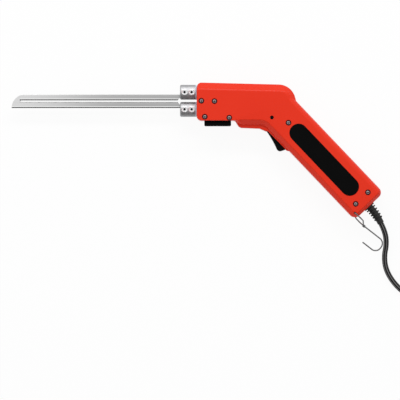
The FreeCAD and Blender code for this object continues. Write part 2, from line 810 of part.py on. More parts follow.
def insulator_bush(name, level):
    """A tube that carries a clamp block's shank in the nose wall."""
    outside = rod(f"{name}_outside", "bush_radius", "bush_length", ("0", level, "0"), "x")
    bore = rod(f"{name}_bore", "shank_radius + running_fit", "bush_length + 2", ("-1", level, "0"), "x")
    return place(less(name, outside, [bore]))


def blade():
    """A flat bar slotted for most of its length into two legs, each with a stepped tang."""
    body = new_body("blade")
    root = f"({CLAMP_FRONT} - sliding_fit)"
    step = f"({CLAMP_FRONT} + tang_shoulder)"
    end = f"({CLAMP_FRONT} + tang_length)"
    tip = "-blade_reach"
    points = [
        (tip, BLADE_LOW),
        (step, BLADE_LOW),
        (step, f"{BLADE_LOW} - tang_pad"),
        (end, f"{BLADE_LOW} - tang_pad"),
        (end, f"{BLADE_LOW} + tang_height"),
        (root, f"{BLADE_LOW} + tang_height"),
        (f"{root} - tang_taper", SLOT_LOW),
        ("blade_tip_solid - blade_reach", SLOT_LOW),
        ("blade_tip_solid - blade_reach + blade_slot", SLOT_TOP),
        (f"{root} - tang_taper", SLOT_TOP),
        (root, f"{BLADE_TOP} - tang_height"),
        (end, f"{BLADE_TOP} - tang_height"),
        (end, f"{BLADE_TOP} + tang_pad"),
        (step, f"{BLADE_TOP} + tang_pad"),
        (step, BLADE_TOP),
        ("blade_tip_rise - blade_reach", BLADE_TOP, "blade_tip_round"),
        (tip, f"{BLADE_LOW} + 1"),
    ]
    pad(body, outline(body, points, lift="-blade_thickness / 2"), "blade_thickness")
    ground = value(f"{SLOT_TOP} - {SLOT_LOW}")

    def is_long(edge):
        """Long edges of the legs along the blade, on both faces."""
        off_middle = abs(edge.CenterOfMass.y + value("blade_drop"))
        return edge.Length > value("blade_reach") / 2 and off_middle > ground / 4

    dress(body, "Chamfer", edges_where(body, is_long), "blade_edge_bevel")
    return place(body)


def guide_rail():
    """A T-section rail for sleds and guides, screwed up into the nose."""
    body = new_body("guide_rail_bar")
    top = "-nose_bottom"
    neck = "-nose_bottom - rail_neck_height"
    low = "-nose_bottom - rail_height"
    half = "rail_width / 2"
    thin = "rail_neck_width / 2"
    points = [
        (low, f"-{half}"),
        (neck, f"-{half}"),
        (neck, f"-{thin}"),
        (top, f"-{thin}"),
        (top, thin),
        (neck, thin),
        (neck, half),
        (low, half),
    ]
    pad(body, outline(body, points, lift="rail_start", plane="YZ_Plane"), "rail_length")
    ends = (value("rail_start"), value("rail_start + rail_length"))
    lower = value(low)

    def is_lower_end(edge):
        """The two lower corners of the rail as seen from its side."""
        middle = edge.CenterOfMass
        return abs(middle.y - lower) < 0.001 and min(abs(middle.x - end) for end in ends) < 0.001

    dress(body, "Fillet", edges_where(body, is_lower_end), "rail_round")
    cuts = []
    for x, z in RAIL_SCREWS:
        mouth = (x, f"{low} - 1", z)
        cuts.append(rod("rail_bore", "screw_radius + running_fit", "rail_height + 2", mouth, "y"))
        cuts.append(rod("rail_sink", "screw_head_radius + seat_gap", "screw_head_height + 1.5", mouth, "y"))
    return place(less("guide_rail", body, cuts))


def guide_rail_screws():
    """Four equal screws, two into each shell."""
    parts = []
    floor = "-nose_bottom - rail_height + 0.5"
    for x, z in RAIL_SCREWS:
        parts.append(rod("rail_screw_head", "screw_head_radius", "screw_head_height", (x, floor, z), "y"))
        parts.append(rod("rail_screw_shaft", "screw_radius", "rail_height + wall", (x, floor, z), "y"))
    return place(joined("guide_rail_screws", parts))


def trigger():
    """A finger lever with a dished face, its far end struck round the pivot."""
    body = new_body("trigger_lever")
    reach = "trigger_reach"
    tip = f"pin_along + sqrt({reach} ^ 2 - (trigger_tip_out - pin_across) ^ 2)"
    back = f"pin_along + sqrt({reach} ^ 2 - (pin_across - trigger_back) ^ 2)"
    points = [
        ("trigger_top", "-trigger_top_out", "-trigger_face_round"),
        (tip, "-trigger_tip_out", reach),
        (back, "-trigger_back"),
        ("pin_along + 2 * trigger_boss", "-trigger_back"),
        ("pin_along", "trigger_boss - pin_across"),
        ("pin_along - trigger_boss", "-pin_across"),
        ("pin_along + 3", "-pin_across - trigger_boss - 2"),
    ]
    pad(body, outline(body, points, lift="-trigger_width / 2", handle=True), "trigger_width")
    tip_edge = edges_where(body, upright_at(*on_handle(tip, "-trigger_tip_out")))
    dress(body, "Fillet", tip_edge, "trigger_tip_round")
    boss = rod("trigger_hub", "trigger_boss", "trigger_width", (*on_handle(*PIN), "-trigger_width / 2"))
    bore = rod("trigger_bore", "pin_radius + running_fit", "trigger_width + 2",
               (*on_handle(*PIN), "-trigger_width / 2 - 1"))
    return place(less("trigger", joined("trigger_blank", [body, boss]), [bore]))


def trigger_pin():
    """A plain pin across both shells, just short of their faces."""
    base = (*on_handle(*PIN), f"1 - {HALF}")
    return place(rod("trigger_pin", "pin_radius", "thickness - 2", base), base)


def switch_parts():
    """The mains switch and its plunger, built in the handle frame."""
    middle = ("plunger_along", "switch_across")
    shell = box("switch_case", ("switch_along", "switch_across", "-switch_width / 2"),
                ("switch_along + switch_length", "switch_across + switch_height", "switch_width / 2"))
    bore = rod("switch_bore", "plunger_radius + running_fit", "1 + plunger_grip + plunger_travel + seat_gap",
               (middle[0], f"{middle[1]} - 1", "0"), "y")
    body = place(less("switch_body", shell, [bore]), handle=True)
    start = "(free_gap - trigger_back)"
    base = (*on_handle(middle[0], start), 0)
    plunger = rod("switch_plunger", "plunger_radius", f"switch_across + plunger_grip - {start}", base, "t")
    return [body, place(plunger, base)]


def transformer():
    """A laminated core, its bobbin and mains winding, and the terminal strip behind it."""
    end = "(core_x + core_length)"
    window = ("core_x + core_limb", f"{end} - core_limb")
    half = "core_height / 2"
    deep = "core_depth / 2"
    block = box("core_block", ("core_x", f"-{half}", f"-{deep}"), (end, half, deep))
    windows = [
        box("core_window", (window[0], "core_limb", f"-{deep} - 1"),
            (window[1], f"{half} - core_limb", f"{deep} + 1")),
        box("core_window", (window[0], f"core_limb - {half}", f"-{deep} - 1"),
            (window[1], "-core_limb", f"{deep} + 1")),
    ]
    core = place(less("transformer_core", block, windows))

    def sleeve(name, along, inner, outer):
        """A square tube round the middle limb, from one depth outside the limb to another."""
        inside = box(f"{name}_inside", (f"{along[0]} - 1", f"-core_limb - {inner}", f"-{deep} - {inner}"),
                     (f"{along[1]} + 1", f"core_limb + {inner}", f"{deep} + {inner}"))
        outside = box(f"{name}_outside", (along[0], f"-core_limb - {outer}", f"-{deep} - {outer}"),
                      (along[1], f"core_limb + {outer}", f"{deep} + {outer}"))
        return less(name, outside, [inside])

    span = (f"{window[0]} + sliding_fit", f"{window[1]} - sliding_fit")
    inner = (f"{span[0]} + bobbin_wall", f"{span[1]} - bobbin_wall")
    wall = "(sliding_fit + bobbin_wall)"
    full = f"({wall} + winding_height)"
    tubes = [
        sleeve("bobbin_tube", span, "sliding_fit", wall),
        sleeve("bobbin_front", (span[0], inner[0]), "sliding_fit", full),
        sleeve("bobbin_rear", (inner[1], span[1]), "sliding_fit", full),
    ]
    bobbin = place(joined("transformer_bobbin", tubes))
    winding = place(sleeve("primary_winding", inner, wall, full))
    strip = place(joined("terminal_strip", [
        box("terminal_board", (end, "-core_height / 4", "-core_depth / 3"),
            (f"{end} + terminal_thickness", "core_height / 4", "core_depth / 3")),
        box("terminal_foot", (end, "-core_height / 3", "-core_depth / 4"),
            (f"{end} + terminal_thickness / 2", "core_height / 3", "core_depth / 4")),
    ]))
    return [core, bobbin, winding, strip]


def secondary_strap():
    """One turn of heavy copper: a lug on each tongue, an arm and a foot through each window, and a bridge.

    The arms lie a set share of the way up the room that the winding leaves in the windows.
    """
    near = "(core_depth / 2 + seat_gap + seat_gap)"
    far = f"({near} + strap_width)"
    bridge = "(core_depth / 2 + sliding_fit + bobbin_wall + winding_height + sliding_fit)"
    low = f"-({bridge} + strap_thickness)"
    foot_end = "strap_foot_x + strap_foot_width"
    start = "(shank_length - tongue_length + seat_gap)"
    winding_top = "(core_limb + sliding_fit + bobbin_wall + winding_height)"
    free = f"(core_height / 2 - core_limb - {winding_top} - strap_thickness)"
    arm_low = f"({winding_top} + strap_place * {free})"
    parts = []
    upper = (SHANK_Y, arm_low)
    lower = (f"(-{SHANK_Y} - strap_thickness)", f"(-{arm_low} - strap_thickness)")
    for lug, arm in (upper, lower):
        lug_top = f"{lug} + strap_thickness"
        arm_top = f"{arm} + strap_thickness"
        parts.append(box("strap_lug", (start, lug, "-shank_radius"), ("shank_length", lug_top, far)))
        parts.append(box("strap_riser", (start, f"min({lug}; {arm})", near),
                         ("shank_length", f"max({lug}; {arm}) + strap_thickness", far)))
        parts.append(box("strap_arm", (start, arm, near), (foot_end, arm_top, far)))
        parts.append(box("strap_foot", ("strap_foot_x", arm, low), (foot_end, arm_top, far)))
    parts.append(box("strap_bridge", ("strap_foot_x", f"-{arm_low} - strap_thickness", low),
                     (foot_end, f"{arm_low} + strap_thickness", f"-{bridge}")))
    hole = rod("strap_bore", "strap_screw_radius + running_fit", f"2 * {SHANK_Y} + 3 * strap_thickness",
               ("strap_screw_x", f"-{SHANK_Y} - 1.5 * strap_thickness", "0"), "y")
    return place(less("secondary_strap", joined("strap_bar", parts), [hole]))


def strap_screws():
    """Two equal screws that hold the strap to the tongues."""
    top = f"({SHANK_Y} + strap_thickness)"
    starts = ((top, f"{SHANK_Y} - shank_radius"), (f"-{top} - screw_head_height", f"-{top}"))
    parts = []
    for head, shaft in starts:
        parts.append(rod("strap_screw_head", "screw_head_radius", "screw_head_height",
                         ("strap_screw_x", head, "0"), "y"))
        parts.append(rod("strap_screw_shaft", "strap_screw_radius", "shank_radius + strap_thickness",
                         ("strap_screw_x", shaft, "0"), "y"))
    return place(joined("strap_screws", parts))


def label_plate():
    """A thin plate with round ends, let into the left shell's face."""
    return place(joined("label_plate", stadium("label", "0", HALF)))


def cord_clamp_parts():
    """The cord's inner end, the bar that clamps it, and the bar's two screws, in the handle frame."""
    base = (*on_handle("handle_length - wall - relief_flange_thickness - cord_tail_length", 0), 0)
    tail = rod("cord_tail", "cord_radius", "cord_tail_length", base, "s")
    reach = "cord_radius + 2 * boss_radius + seat_gap"
    low = "(cord_radius + sliding_fit)"
    bar = box("clamp_bar", (f"{CLAMP_S} - cord_clamp_width / 2", f"-({reach})", low),
              (f"{CLAMP_S} + cord_clamp_width / 2", reach, f"{low} + screw_radius"))
    bar_top = f"{low} + screw_radius"
    holes = []
    screws = []
    for at in CLAMP_SCREWS:
        holes.append(rod("clamp_bore", "screw_radius + running_fit", "2 * cord_radius", (*at, "0")))
        screws.append(rod("clamp_screw_head", "screw_head_radius", "screw_head_height", (*at, bar_top)))
        screws.append(rod("clamp_screw_shaft", "screw_radius", "screw_length / 3",
                          (*at, f"{bar_top} - screw_length / 3")))
    return [
        place(tail, base),
        place(less("cord_clamp", bar, holes), handle=True),
        place(joined("cord_clamp_screws", screws), handle=True),
    ]


def finished(x, y, z):
    """A tool-frame point, given as formulas, as numbers in the finished frame."""
    return value(f"{x} - {MIDDLE_X}"), value(f"{y} - {MIDDLE_Y}"), value(f"{HALF} + {z}")


def leads():
    """The two cores of the cord, to the switch and the transformer, and the lead between those."""
    tail = "(handle_length - wall - relief_flange_thickness - cord_tail_length)"
    gap = "(lead_radius + sliding_fit)"
    switch_end = "(switch_along + switch_length)"
    strip = "(core_x + core_length + terminal_thickness)"
    above = "(switch_across + switch_height + lead_radius + free_gap)"
    routes = {
        "lead_to_switch": [
            (*on_handle(tail, f"-{gap}"), 0),
            (*on_handle(f"{tail} - 20", f"-{gap}"), 0),
            (*on_handle(f"{switch_end} + 22", "switch_across + 3"), 0),
            (*on_handle(switch_end, "switch_across + 3"), 0),
        ],
        "lead_to_transformer": [
            (*on_handle(tail, gap), 0),
            (*on_handle(f"{tail} - 18", gap), 0),
            (*on_handle(f"{switch_end} + 16", above), 0),
            (*on_handle("switch_along - 14", above), 0),
            (f"{strip} + 14", "core_height / 6", 0),
            (strip, "core_height / 6", 0),
        ],
        "switch_lead": [
            (*on_handle("switch_along", "switch_across + 4"), 0),
            (*on_handle("switch_along - 10", "switch_across + 4"), 0),
            (*on_handle("switch_along - 22", "switch_across + 5"), 0),
            (f"{strip} + 10", "-core_height / 6", 0),
            (strip, "-core_height / 6", 0),
        ],
    }
    wires = []
    for name, route in routes.items():
        solid, length, radii = tube([finished(*point) for point in route], value("lead_radius"))
        wires.append(shaped(name, solid))
        print(f"{name}: {length:.0f} mm, bends {[round(radius, 1) for radius in radii]}")
    return wires


def hanging_hook():
    """A wire hook: a loop through the handle's corner, twisted together into a shank and a J-bend."""
    radius = value("wire_radius")
    hole = on_handle(*HOOK_HOLE)
    lean = "hook_angle"
    centre = (f"({HOOK_FAR_X} - hook_bend)", f"({HOOK_LOW_Y} + hook_bend)")
    shank_end = (f"({centre[0]} + hook_bend * sin({lean}))", f"({centre[1]} + hook_bend * cos({lean}))")
    twist = (f"({shank_end[0]} - hook_shank * cos({lean}))", f"({shank_end[1]} + hook_shank * sin({lean}))")
    turn_in = (f"({shank_end[0]} + hook_bend * cos({lean}))", f"({shank_end[1]} - hook_bend * sin({lean}))")
    turn_out = (f"({turn_in[0]} - 2 * hook_bend * sin({lean}))",
                f"({turn_in[1]} - 2 * hook_bend * cos({lean}))")
    point = (f"({turn_out[0]} - (hook_bend + hook_point) * cos({lean}))",
             f"({turn_out[1]} + (hook_bend + hook_point) * sin({lean}))")
    shank = tube([finished(*at, "0") for at in (twist, turn_in, turn_out, point)], radius)[0]

    def beyond(turn, distance):
        """A point at a distance from the hole, turned from the handle's direction."""
        return (f"({hole[0]} + {distance} * cos(handle_angle {turn}))",
                f"({hole[1]} - {distance} * sin(handle_angle {turn}))")

    over = f"({HALF} + seat_gap + wire_radius)"
    under = f"({HALF} - hook_recess_depth + seat_gap + wire_radius)"
    front = beyond("- hook_front_turn", "(1.6 * hook_over)")
    rear = (f"(({beyond('+ hook_rear_turn', 'hook_over')[0]} + {twist[0]}) / 2)",
            f"(({beyond('+ hook_rear_turn', 'hook_over')[1]} + {twist[1]}) / 2)")
    loop = [
        (*twist, "wire_radius"),
        (*front, f"{over} / 2"),
        (*beyond("- hook_front_turn", "hook_over"), over),
        (*hole, over),
        (*hole, f"-{under}"),
        (*beyond("+ hook_rear_turn", "(0.85 * hook_over)"), f"-{under}"),
        (*rear, f"-{under} / 2"),
        (*twist, "-wire_radius"),
    ]
    eye = tube([finished(*at) for at in loop], radius, value("hook_eye_bend"))[0]
    start = FreeCAD.Vector(*finished(*twist, "0"))
    along = FreeCAD.Vector(*finished(*shank_end, "0")) - start
    along.normalize()
    knot = Part.makeCylinder(2 * radius, 4 * radius, start - along * radius, along)
    return shaped("hanging_hook", shank.fuse([eye, knot]))


def strain_relief():
    """A moulded sleeve in the handle's end wall, bent with the cord, with evenly spaced ribs."""
    end = value("handle_length")
    sweep = math.radians(value("relief_bend"))
    bend = value("relief_length") / sweep
    roll = math.radians(value("relief_roll"))

    def at(angle):
        """Point and direction of the sleeve's axis at an angle round its bend."""
        fall = bend * (1 - math.cos(angle))
        point = FreeCAD.Vector(end + bend * math.sin(angle), -fall * math.cos(roll), -fall * math.sin(roll))
        aside = math.sin(angle)
        direction = FreeCAD.Vector(math.cos(angle), -aside * math.cos(roll), -aside * math.sin(roll))
        return point, direction

    def disc(radius, thickness, angle):
        """A round slice of the sleeve."""
        point, direction = at(angle)
        return Part.makeCylinder(value(radius), value(thickness), point, direction)

    spine = Part.Wire([Part.Arc(at(0)[0], at(sweep / 2)[0], at(sweep)[0]).toShape()])
    core = spine.makePipeShell([Part.Wire(Part.makeCircle(value("relief_core"), *at(0)))], True, False)
    along = FreeCAD.Vector(1, 0, 0)
    flange_start = FreeCAD.Vector(end - value("wall + relief_flange_thickness"), 0, 0)
    flange = Part.makeCylinder(value("relief_flange"), value("relief_flange_thickness"), flange_start, along)
    neck_start = FreeCAD.Vector(end - value("wall"), 0, 0)
    neck = Part.makeCylinder(value("relief_neck"), value("wall"), neck_start, along)
    ribs = []
    count = int(value("relief_ribs"))
    for number in range(count):
        share = number / max(count - 1, 1)
        radius = value("relief_rib") + share * value("relief_rib_end - relief_rib")
        offset = value("relief_collar + 1.5") + number * value("relief_rib_pitch")
        ribs.append(disc(radius, "relief_rib_thickness", offset / bend))
    sleeve = core.fuse([flange, neck, disc("relief_collar_radius", "relief_collar", 0), *ribs])
    tip, direction = at(sweep)
    start = finished(*on_handle(tip.x, tip.y), tip.z)
    print("sleeve ends at", [round(number, 2) for number in start])
    return place(shaped("strain_relief", sleeve), handle=True)


def cord_parts():
    """The free cord: its run, its put-away coil, the lead to the plug, and the tie round the coil."""
    radius = value("cord_radius")
    parts = []
    for name, route in (("cord_run", CORD_ROUTE), ("plug_lead", PLUG_ROUTE)):
        solid, length, radii = tube(route, radius)
        parts.append(shaped(name, solid))
        print(f"{name}: {length:.0f} mm, bends {[round(bend, 1) for bend in radii]}")
    coil = document.addObject("Part::Torus", "cord_coil")
    coil.setExpression("Radius1", bound("coil_radius"))
    coil.setExpression("Radius2", bound("coil_bundle"))
    height = "coil_bundle + 1"
    turn_and_move(coil, (0, 0, 1), 0, ("coil_x", "coil_y", height))
    band = rod("tie_outside", "coil_bundle + free_gap + tie_thickness / 2", "tie_width",
               ("coil_x - coil_radius", "coil_y - tie_width / 2", height), "y")
    bore = rod("tie_inside", "coil_bundle + free_gap", "tie_width + 2",
               ("coil_x - coil_radius", "coil_y - tie_width / 2 - 1", height), "y")
    return [*parts, coil, less("cord_tie", band, [bore])]


def plug():
    """A two-pin moulded plug on its side, at the end of its lead."""
    middle = "plug_height / 2"
    far = "plug_neck + plug_length"
    block = box("plug_block", ("plug_neck", "-plug_width / 2", "0"), (far, "plug_width / 2", "plug_height"))
    document.recompute()
    rounded = document.addObject("Part::Fillet", "plug_rounded")
    rounded.Base = block
    rounded.Edges = [(number, value("plug_round"), value("plug_round")) for number in range(1, 13)]
    neck = document.addObject("Part::Cone", "plug_neck_cone")
    neck.setExpression("Radius1", bound("cord_radius + 0.6"))
    neck.setExpression("Radius2", bound("plug_neck_radius"))
    neck.setExpression("Height", bound("plug_neck + plug_round"))
    turn_and_move(neck, (0, 1, 0), 90, ("0", "0", middle))
    body = joined("plug_body", [rounded, neck])
    prongs = []
    for side in (1, -1):
        inner = f"{side} * prong_pitch / 2 - prong_thickness / 2"
        prongs.append(box("prong", (far, inner, f"{middle} - prong_width / 2"),
                          (f"{far} + prong_length", f"{inner} + prong_thickness",
                           f"{middle} + prong_width / 2")))
    pins = joined("plug_pins", prongs)
    for item in (body, pins):
        turn_and_move(item, (0, 0, 1), "plug_turn", (PLUG_ROUTE[-1][0], PLUG_ROUTE[-1][1], 0))
    return [body, pins]


RAIL_SCREWS = [
    (along, f"{side} * rail_screw_spread / 2")
    for along in ("rail_start + rail_screw_inset", "rail_start + rail_length - rail_screw_inset")
    for side in (1, -1)
]

pieces = [
    housing_shell("housing_left", 1),
    housing_shell("housing_right", -1),
    housing_screws(),
    clamp_block("clamp_block_upper", 1),
    clamp_block("clamp_block_lower", -1),
    set_screws(),
    insulating_washers(),
    insulator_bush("insulator_bush_upper", SHANK_Y),
    insulator_bush("insulator_bush_lower", f"-{SHANK_Y}"),
    blade(),
    guide_rail(),
    guide_rail_screws(),
    trigger(),
    trigger_pin(),
    *switch_parts(),
    *transformer(),
    secondary_strap(),
    strap_screws(),
    label_plate(),
    *cord_clamp_parts(),
    *leads(),
    hanging_hook(),
    strain_relief(),
    *cord_parts(),
    *plug(),
]
document.recompute()

faults = [item.Name for item in document.Objects if {"Invalid", "Error"} & set(item.State)]
faults += [piece.Label for piece in pieces if piece.Shape.isNull() or not piece.Shape.isValid()]
if faults:
    raise ValueError(f"failed to build: {faults}")
os.makedirs("parts", exist_ok=True)
for piece in pieces:
    piece.Shape.exportStep(f"parts/{piece.Label}.step")
print(f"{len(pieces)} pieces written")
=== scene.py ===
import json
import math

import bpy
import numpy as np
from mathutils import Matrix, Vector

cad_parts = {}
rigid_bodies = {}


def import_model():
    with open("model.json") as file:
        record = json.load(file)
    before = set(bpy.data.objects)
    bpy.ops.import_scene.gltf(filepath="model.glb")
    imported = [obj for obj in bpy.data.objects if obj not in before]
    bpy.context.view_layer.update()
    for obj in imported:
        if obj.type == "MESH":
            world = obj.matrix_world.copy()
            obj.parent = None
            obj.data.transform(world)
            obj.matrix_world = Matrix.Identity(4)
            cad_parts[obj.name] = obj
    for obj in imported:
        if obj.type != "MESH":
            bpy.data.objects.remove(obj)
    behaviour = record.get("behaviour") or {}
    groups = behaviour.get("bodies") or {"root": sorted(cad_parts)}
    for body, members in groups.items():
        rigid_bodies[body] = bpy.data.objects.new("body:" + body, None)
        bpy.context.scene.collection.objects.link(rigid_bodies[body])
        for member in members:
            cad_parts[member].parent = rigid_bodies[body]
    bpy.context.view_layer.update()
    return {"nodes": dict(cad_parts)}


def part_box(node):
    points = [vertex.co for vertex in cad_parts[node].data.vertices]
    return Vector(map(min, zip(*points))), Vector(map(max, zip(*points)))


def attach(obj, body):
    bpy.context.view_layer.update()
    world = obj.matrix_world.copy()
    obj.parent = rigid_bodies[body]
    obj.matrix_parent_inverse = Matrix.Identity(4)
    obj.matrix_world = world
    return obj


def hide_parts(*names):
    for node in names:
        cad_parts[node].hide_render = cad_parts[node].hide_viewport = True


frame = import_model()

nodes = frame["nodes"]
scene = bpy.context.scene
scene.view_settings.view_transform = "Standard"


# Camera
# It looks straight down on the tool, which lies on its right side. The lens is long, so the sides hardly
# show, and the view is 440 mm wide near the upper shell's face.
camera_data = bpy.data.cameras.new("camera")
camera_data.lens = 350.0
camera_data.sensor_width = 36.0
camera_data.clip_end = 30.0
camera = bpy.data.objects.new("camera", camera_data)
scene.collection.objects.link(camera)
view_middle = (0.0030, -0.0366)
view_width = 0.440
view_z = 0.027
distance = view_width * camera_data.lens / camera_data.sensor_width
camera.location = (*view_middle, distance + view_z)
scene.camera = camera


# Mains cord
# A round three-core flexible cord in a black rubber jacket, about 1.6 m long. It leaves the sleeve in the
# handle's end, falls to the table and is put away in a tied coil of a little over six turns before the plug.
class Socket:
    """A value on a surface. An expression on it adds the Math nodes that work it out."""

    def __init__(self, graph, socket):
        self.graph = graph
        self.socket = socket

    def math(self, operation, *values):
        """A Math node's operation on the values."""
        return self.graph.add("ShaderNodeMath", {"operation": operation}, dict(enumerate(values)))

    def __add__(self, other):
        return self.math("ADD", self, other)

    def __sub__(self, other):
        return self.math("SUBTRACT", self, other)

    def __rsub__(self, other):
        return self.math("SUBTRACT", other, self)

    def __mul__(self, other):
        return self.math("MULTIPLY", self, other)

    def __abs__(self):
        return self.math("ABSOLUTE", self)

    __radd__ = __add__
    __rmul__ = __mul__

    def wave(self):
        """Sine of the value, moved to run from 0 to 1."""
        return self.math("SINE", self) * 0.5 + 0.5

    def step(self, low, high):
        """0 below low, 1 above high, and smooth between them."""
        ramp = {"interpolation_type": "SMOOTHSTEP"}
        return self.graph.add("ShaderNodeMapRange", ramp, {"Value": self, "From Min": low, "From Max": high})

    def band(self, rise, fall):
        """1 in between: a step up over the first pair of values, times what a second step leaves of 1."""
        return self.step(*rise) * (1 - self.step(*fall))


class Graph:
    """A tree of shader nodes, and the one way in which a node gets into it."""

    def __init__(self, tree):
        self.tree = tree
        tree.nodes.clear()

    def add(self, kind, settings=None, values=None, output=0):
        """A new node's output, or the node if it has none. Its settings go in before its sockets' values."""
        node = self.tree.nodes.new(kind)
        for key, value in (settings or {}).items():
            setattr(node, key, value)
        for key, value in (values or {}).items():
            self.link(node.inputs[key], value)
        return Socket(self, node.outputs[output]) if node.outputs else node

    def link(self, socket, value):
        """Feeds a socket with another one's value, or sets a number or colour on it."""
        if isinstance(value, Socket):
            self.tree.links.new(value.socket, socket)
        else:
            socket.default_value = value

    def read(self, kind, outputs, values=None):
        """Several outputs of one node, by their names."""
        node = self.add(kind, {}, values).socket.node
        return [Socket(self, node.outputs[name]) for name in outputs]

    def split(self, vector):
        """The x, y and z of a vector."""
        return self.read("ShaderNodeSeparateXYZ", "XYZ", {0: vector})


class Finish(Graph):
    """A material made of nodes round one Principled shader, with its constants set on the sockets."""

    def __init__(self, name, **constants):
        self.material = bpy.data.materials.new(name)
        self.material.use_nodes = True
        super().__init__(self.material.node_tree)
        self.surface = self.add("ShaderNodeBsdfPrincipled")
        self.output = self.add("ShaderNodeOutputMaterial", {}, {"Surface": self.surface})
        self.set(**constants)

    def set(self, **values):
        """Feeds the shader's sockets, which go by their names with _ for a space."""
        for name, value in values.items():
            self.link(self.surface.socket.node.inputs[name.replace("_", " ")], value)

    def place(self):
        """Where a point is on the piece, in metres, as x, y and z."""
        return self.split(self.add("ShaderNodeTexCoord", output="Object"))

    def noise(self, scale, detail, stretch=(1, 1, 1)):
        """Noise in object space, with its grain drawn out along an axis whose stretch is small."""
        where = self.add("ShaderNodeTexCoord", output="Object")
        where = self.add("ShaderNodeMapping", {}, {0: where, "Scale": stretch})
        return self.add("ShaderNodeTexNoise", {}, {0: where, "Scale": scale, "Detail": detail})

    def bump(self, height, depth):
        """A surface that is raised where height is 1, by depth in metres."""
        return self.add("ShaderNodeBump", {}, {"Height": height, "Distance": depth, "Strength": 1.0})

    def blend(self, factor, first, second):
        """First colour where factor is 0, second where it is 1."""
        ends = {6: first, 7: second}
        ends = {key: (*end, 1.0) if isinstance(end, tuple) else end for key, end in ends.items()}
        return self.add("ShaderNodeMix", {"data_type": "RGBA"}, {0: factor, **ends}, 2)


# The cord's line: from the sleeve down to the table and up to the coil, round it, and off it to the plug
cord_radius = 0.0030
sleeve_end = (0.2023, -0.0618, 0.0152)
cord_start = [
    sleeve_end, (0.2072, -0.0710, 0.0126), (0.2092, -0.0849, 0.0086), (0.2066, -0.0986, 0.0052),
    (0.2084, -0.1129, 0.0034), (0.2156, -0.1262, 0.0031), (0.2272, -0.1382, 0.0031),
    (0.2420, -0.1468, 0.0031), (0.2590, -0.1522, 0.0034), (0.2750, -0.1524, 0.0050),
]
cord_finish = [
    (0.3283, -0.0975, 0.0118), (0.3262, -0.0825, 0.0100),
    (0.3309, -0.0691, 0.0085), (0.3400, -0.0585, 0.0085),
]
coil_centre = np.array([0.2900, -0.1080, 0.0110])
coil_radius = 0.0360
bundle_radius = 0.0070
bundle_places = 7
first_place = -math.radians(28)
turns = 6.25
turn_points = 20
# Each turn lies in the next of the seven places round the bundle's middle. The points lie a little outside
# the turn, because the curve cuts the corners between them
around = np.arange(0, int(turns * turn_points)) / turn_points * 2 * math.pi
place_angle = first_place + around / bundle_places
reach = (coil_radius + bundle_radius * np.cos(place_angle)) / math.cos(math.pi / turn_points)
coil_points = np.column_stack([
    coil_centre[0] + reach * np.sin(around),
    coil_centre[1] - reach * np.cos(around),
    coil_centre[2] + bundle_radius * np.sin(place_angle),
])
route = [*cord_start, *coil_points.tolist(), *cord_finish]
cord_line = bpy.data.curves.new("mains_cord", "CURVE")
cord_line.dimensions = "3D"
cord_line.bevel_depth = cord_radius
cord_line.bevel_resolution = 6
cord_line.resolution_u = 6
cord_line.use_fill_caps = True
spline = cord_line.splines.new("NURBS")
spline.points.add(len(route) - 1)
spline.points.foreach_set("co", [number for point in route for number in (*point, 1.0)])
spline.order_u = 3
spline.use_endpoint_u = True
mains_cord = bpy.data.objects.new("mains_cord", cord_line)
scene.collection.objects.link(mains_cord)

jacket = Finish("cord_jacket", Specular_IOR_Level=0.25)
grooves = 7
round_it = jacket.split(jacket.add("ShaderNodeUVMap"))[1]
groove = (round_it * (grooves * 2 * math.pi)).wave()
# The rib crests are painted light grey: painted highlight streaks along the cord. The same wave raises the
# ribs as relief.
jacket.set(
    Base_Color=jacket.blend(groove.step(0.70, 0.98), (0.006, 0.006, 0.006), (0.200, 0.198, 0.195)),
    Roughness=0.34 + jacket.noise(260, 3) * 0.2,
    Normal=jacket.bump(groove + jacket.noise(1400, 2) * 0.15, 0.00025),
)
cord_line.materials.append(jacket.material)
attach(mains_cord, "housing")
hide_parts("cord_run", "cord_coil", "plug_lead")


# Sleeve, tie and plug
# A ribbed rubber sleeve keeps the cord from kinking at the handle, a hook-and-loop band holds the coil, and
# the cord ends in a moulded rubber plug with two flat brass prongs.
def wear(finish, *pieces):
    """Gives CAD pieces a finish."""
    for piece in pieces:
        for place in nodes[piece].material_slots:
            place.material = finish.material


sleeve_rubber = Finish("sleeve_rubber", Specular_IOR_Level=0.4)
patch = sleeve_rubber.noise(180, 4)
sleeve_rubber.set(
    Base_Color=sleeve_rubber.blend(patch, (0.006, 0.006, 0.006), (0.022, 0.021, 0.020)),
    Roughness=0.42 + patch * 0.25,
    Normal=sleeve_rubber.bump(sleeve_rubber.noise(2200, 2), 0.00006),
)
wear(sleeve_rubber, "strain_relief", "plug_body", "cord_tail")

band = Finish("tie_band", Specular_IOR_Level=0.2)
weave_x, weave_y, weave_z = band.place()
loop_rate = 6000
loops = (weave_y * loop_rate).wave() * ((weave_x + weave_z) * loop_rate).wave()
band.set(
    Base_Color=band.blend(loops, (0.010, 0.010, 0.011), (0.045, 0.045, 0.048)),
    Roughness=0.75 + loops * 0.2,
    Normal=band.bump(loops, 0.00020),
)
wear(band, "cord_tie")


def mottled(name, pieces, dark, light, grain, rough, relief, **constants):
    """Gives CAD pieces a finish that drifts from dark to light with a noise, rougher and higher at light.

    grain is the noise's scale, detail and stretch, and rough the roughness at dark and its rise up to light.
    """
    finish = Finish(name, **constants)
    drift = finish.noise(*grain)
    finish.set(
        Base_Color=finish.blend(drift, dark, light),
        Roughness=rough[0] + drift * rough[1],
        Normal=finish.bump(drift, relief),
    )
    wear(finish, *pieces)


mottled(
    "prong_brass", ["plug_pins"], dark=(0.70, 0.52, 0.26), light=(0.86, 0.70, 0.40),
    grain=(900, 3, (0.1, 0.1, 1.0)), rough=(0.22, 0.2), relief=0.00002, Metallic=1.0,
)


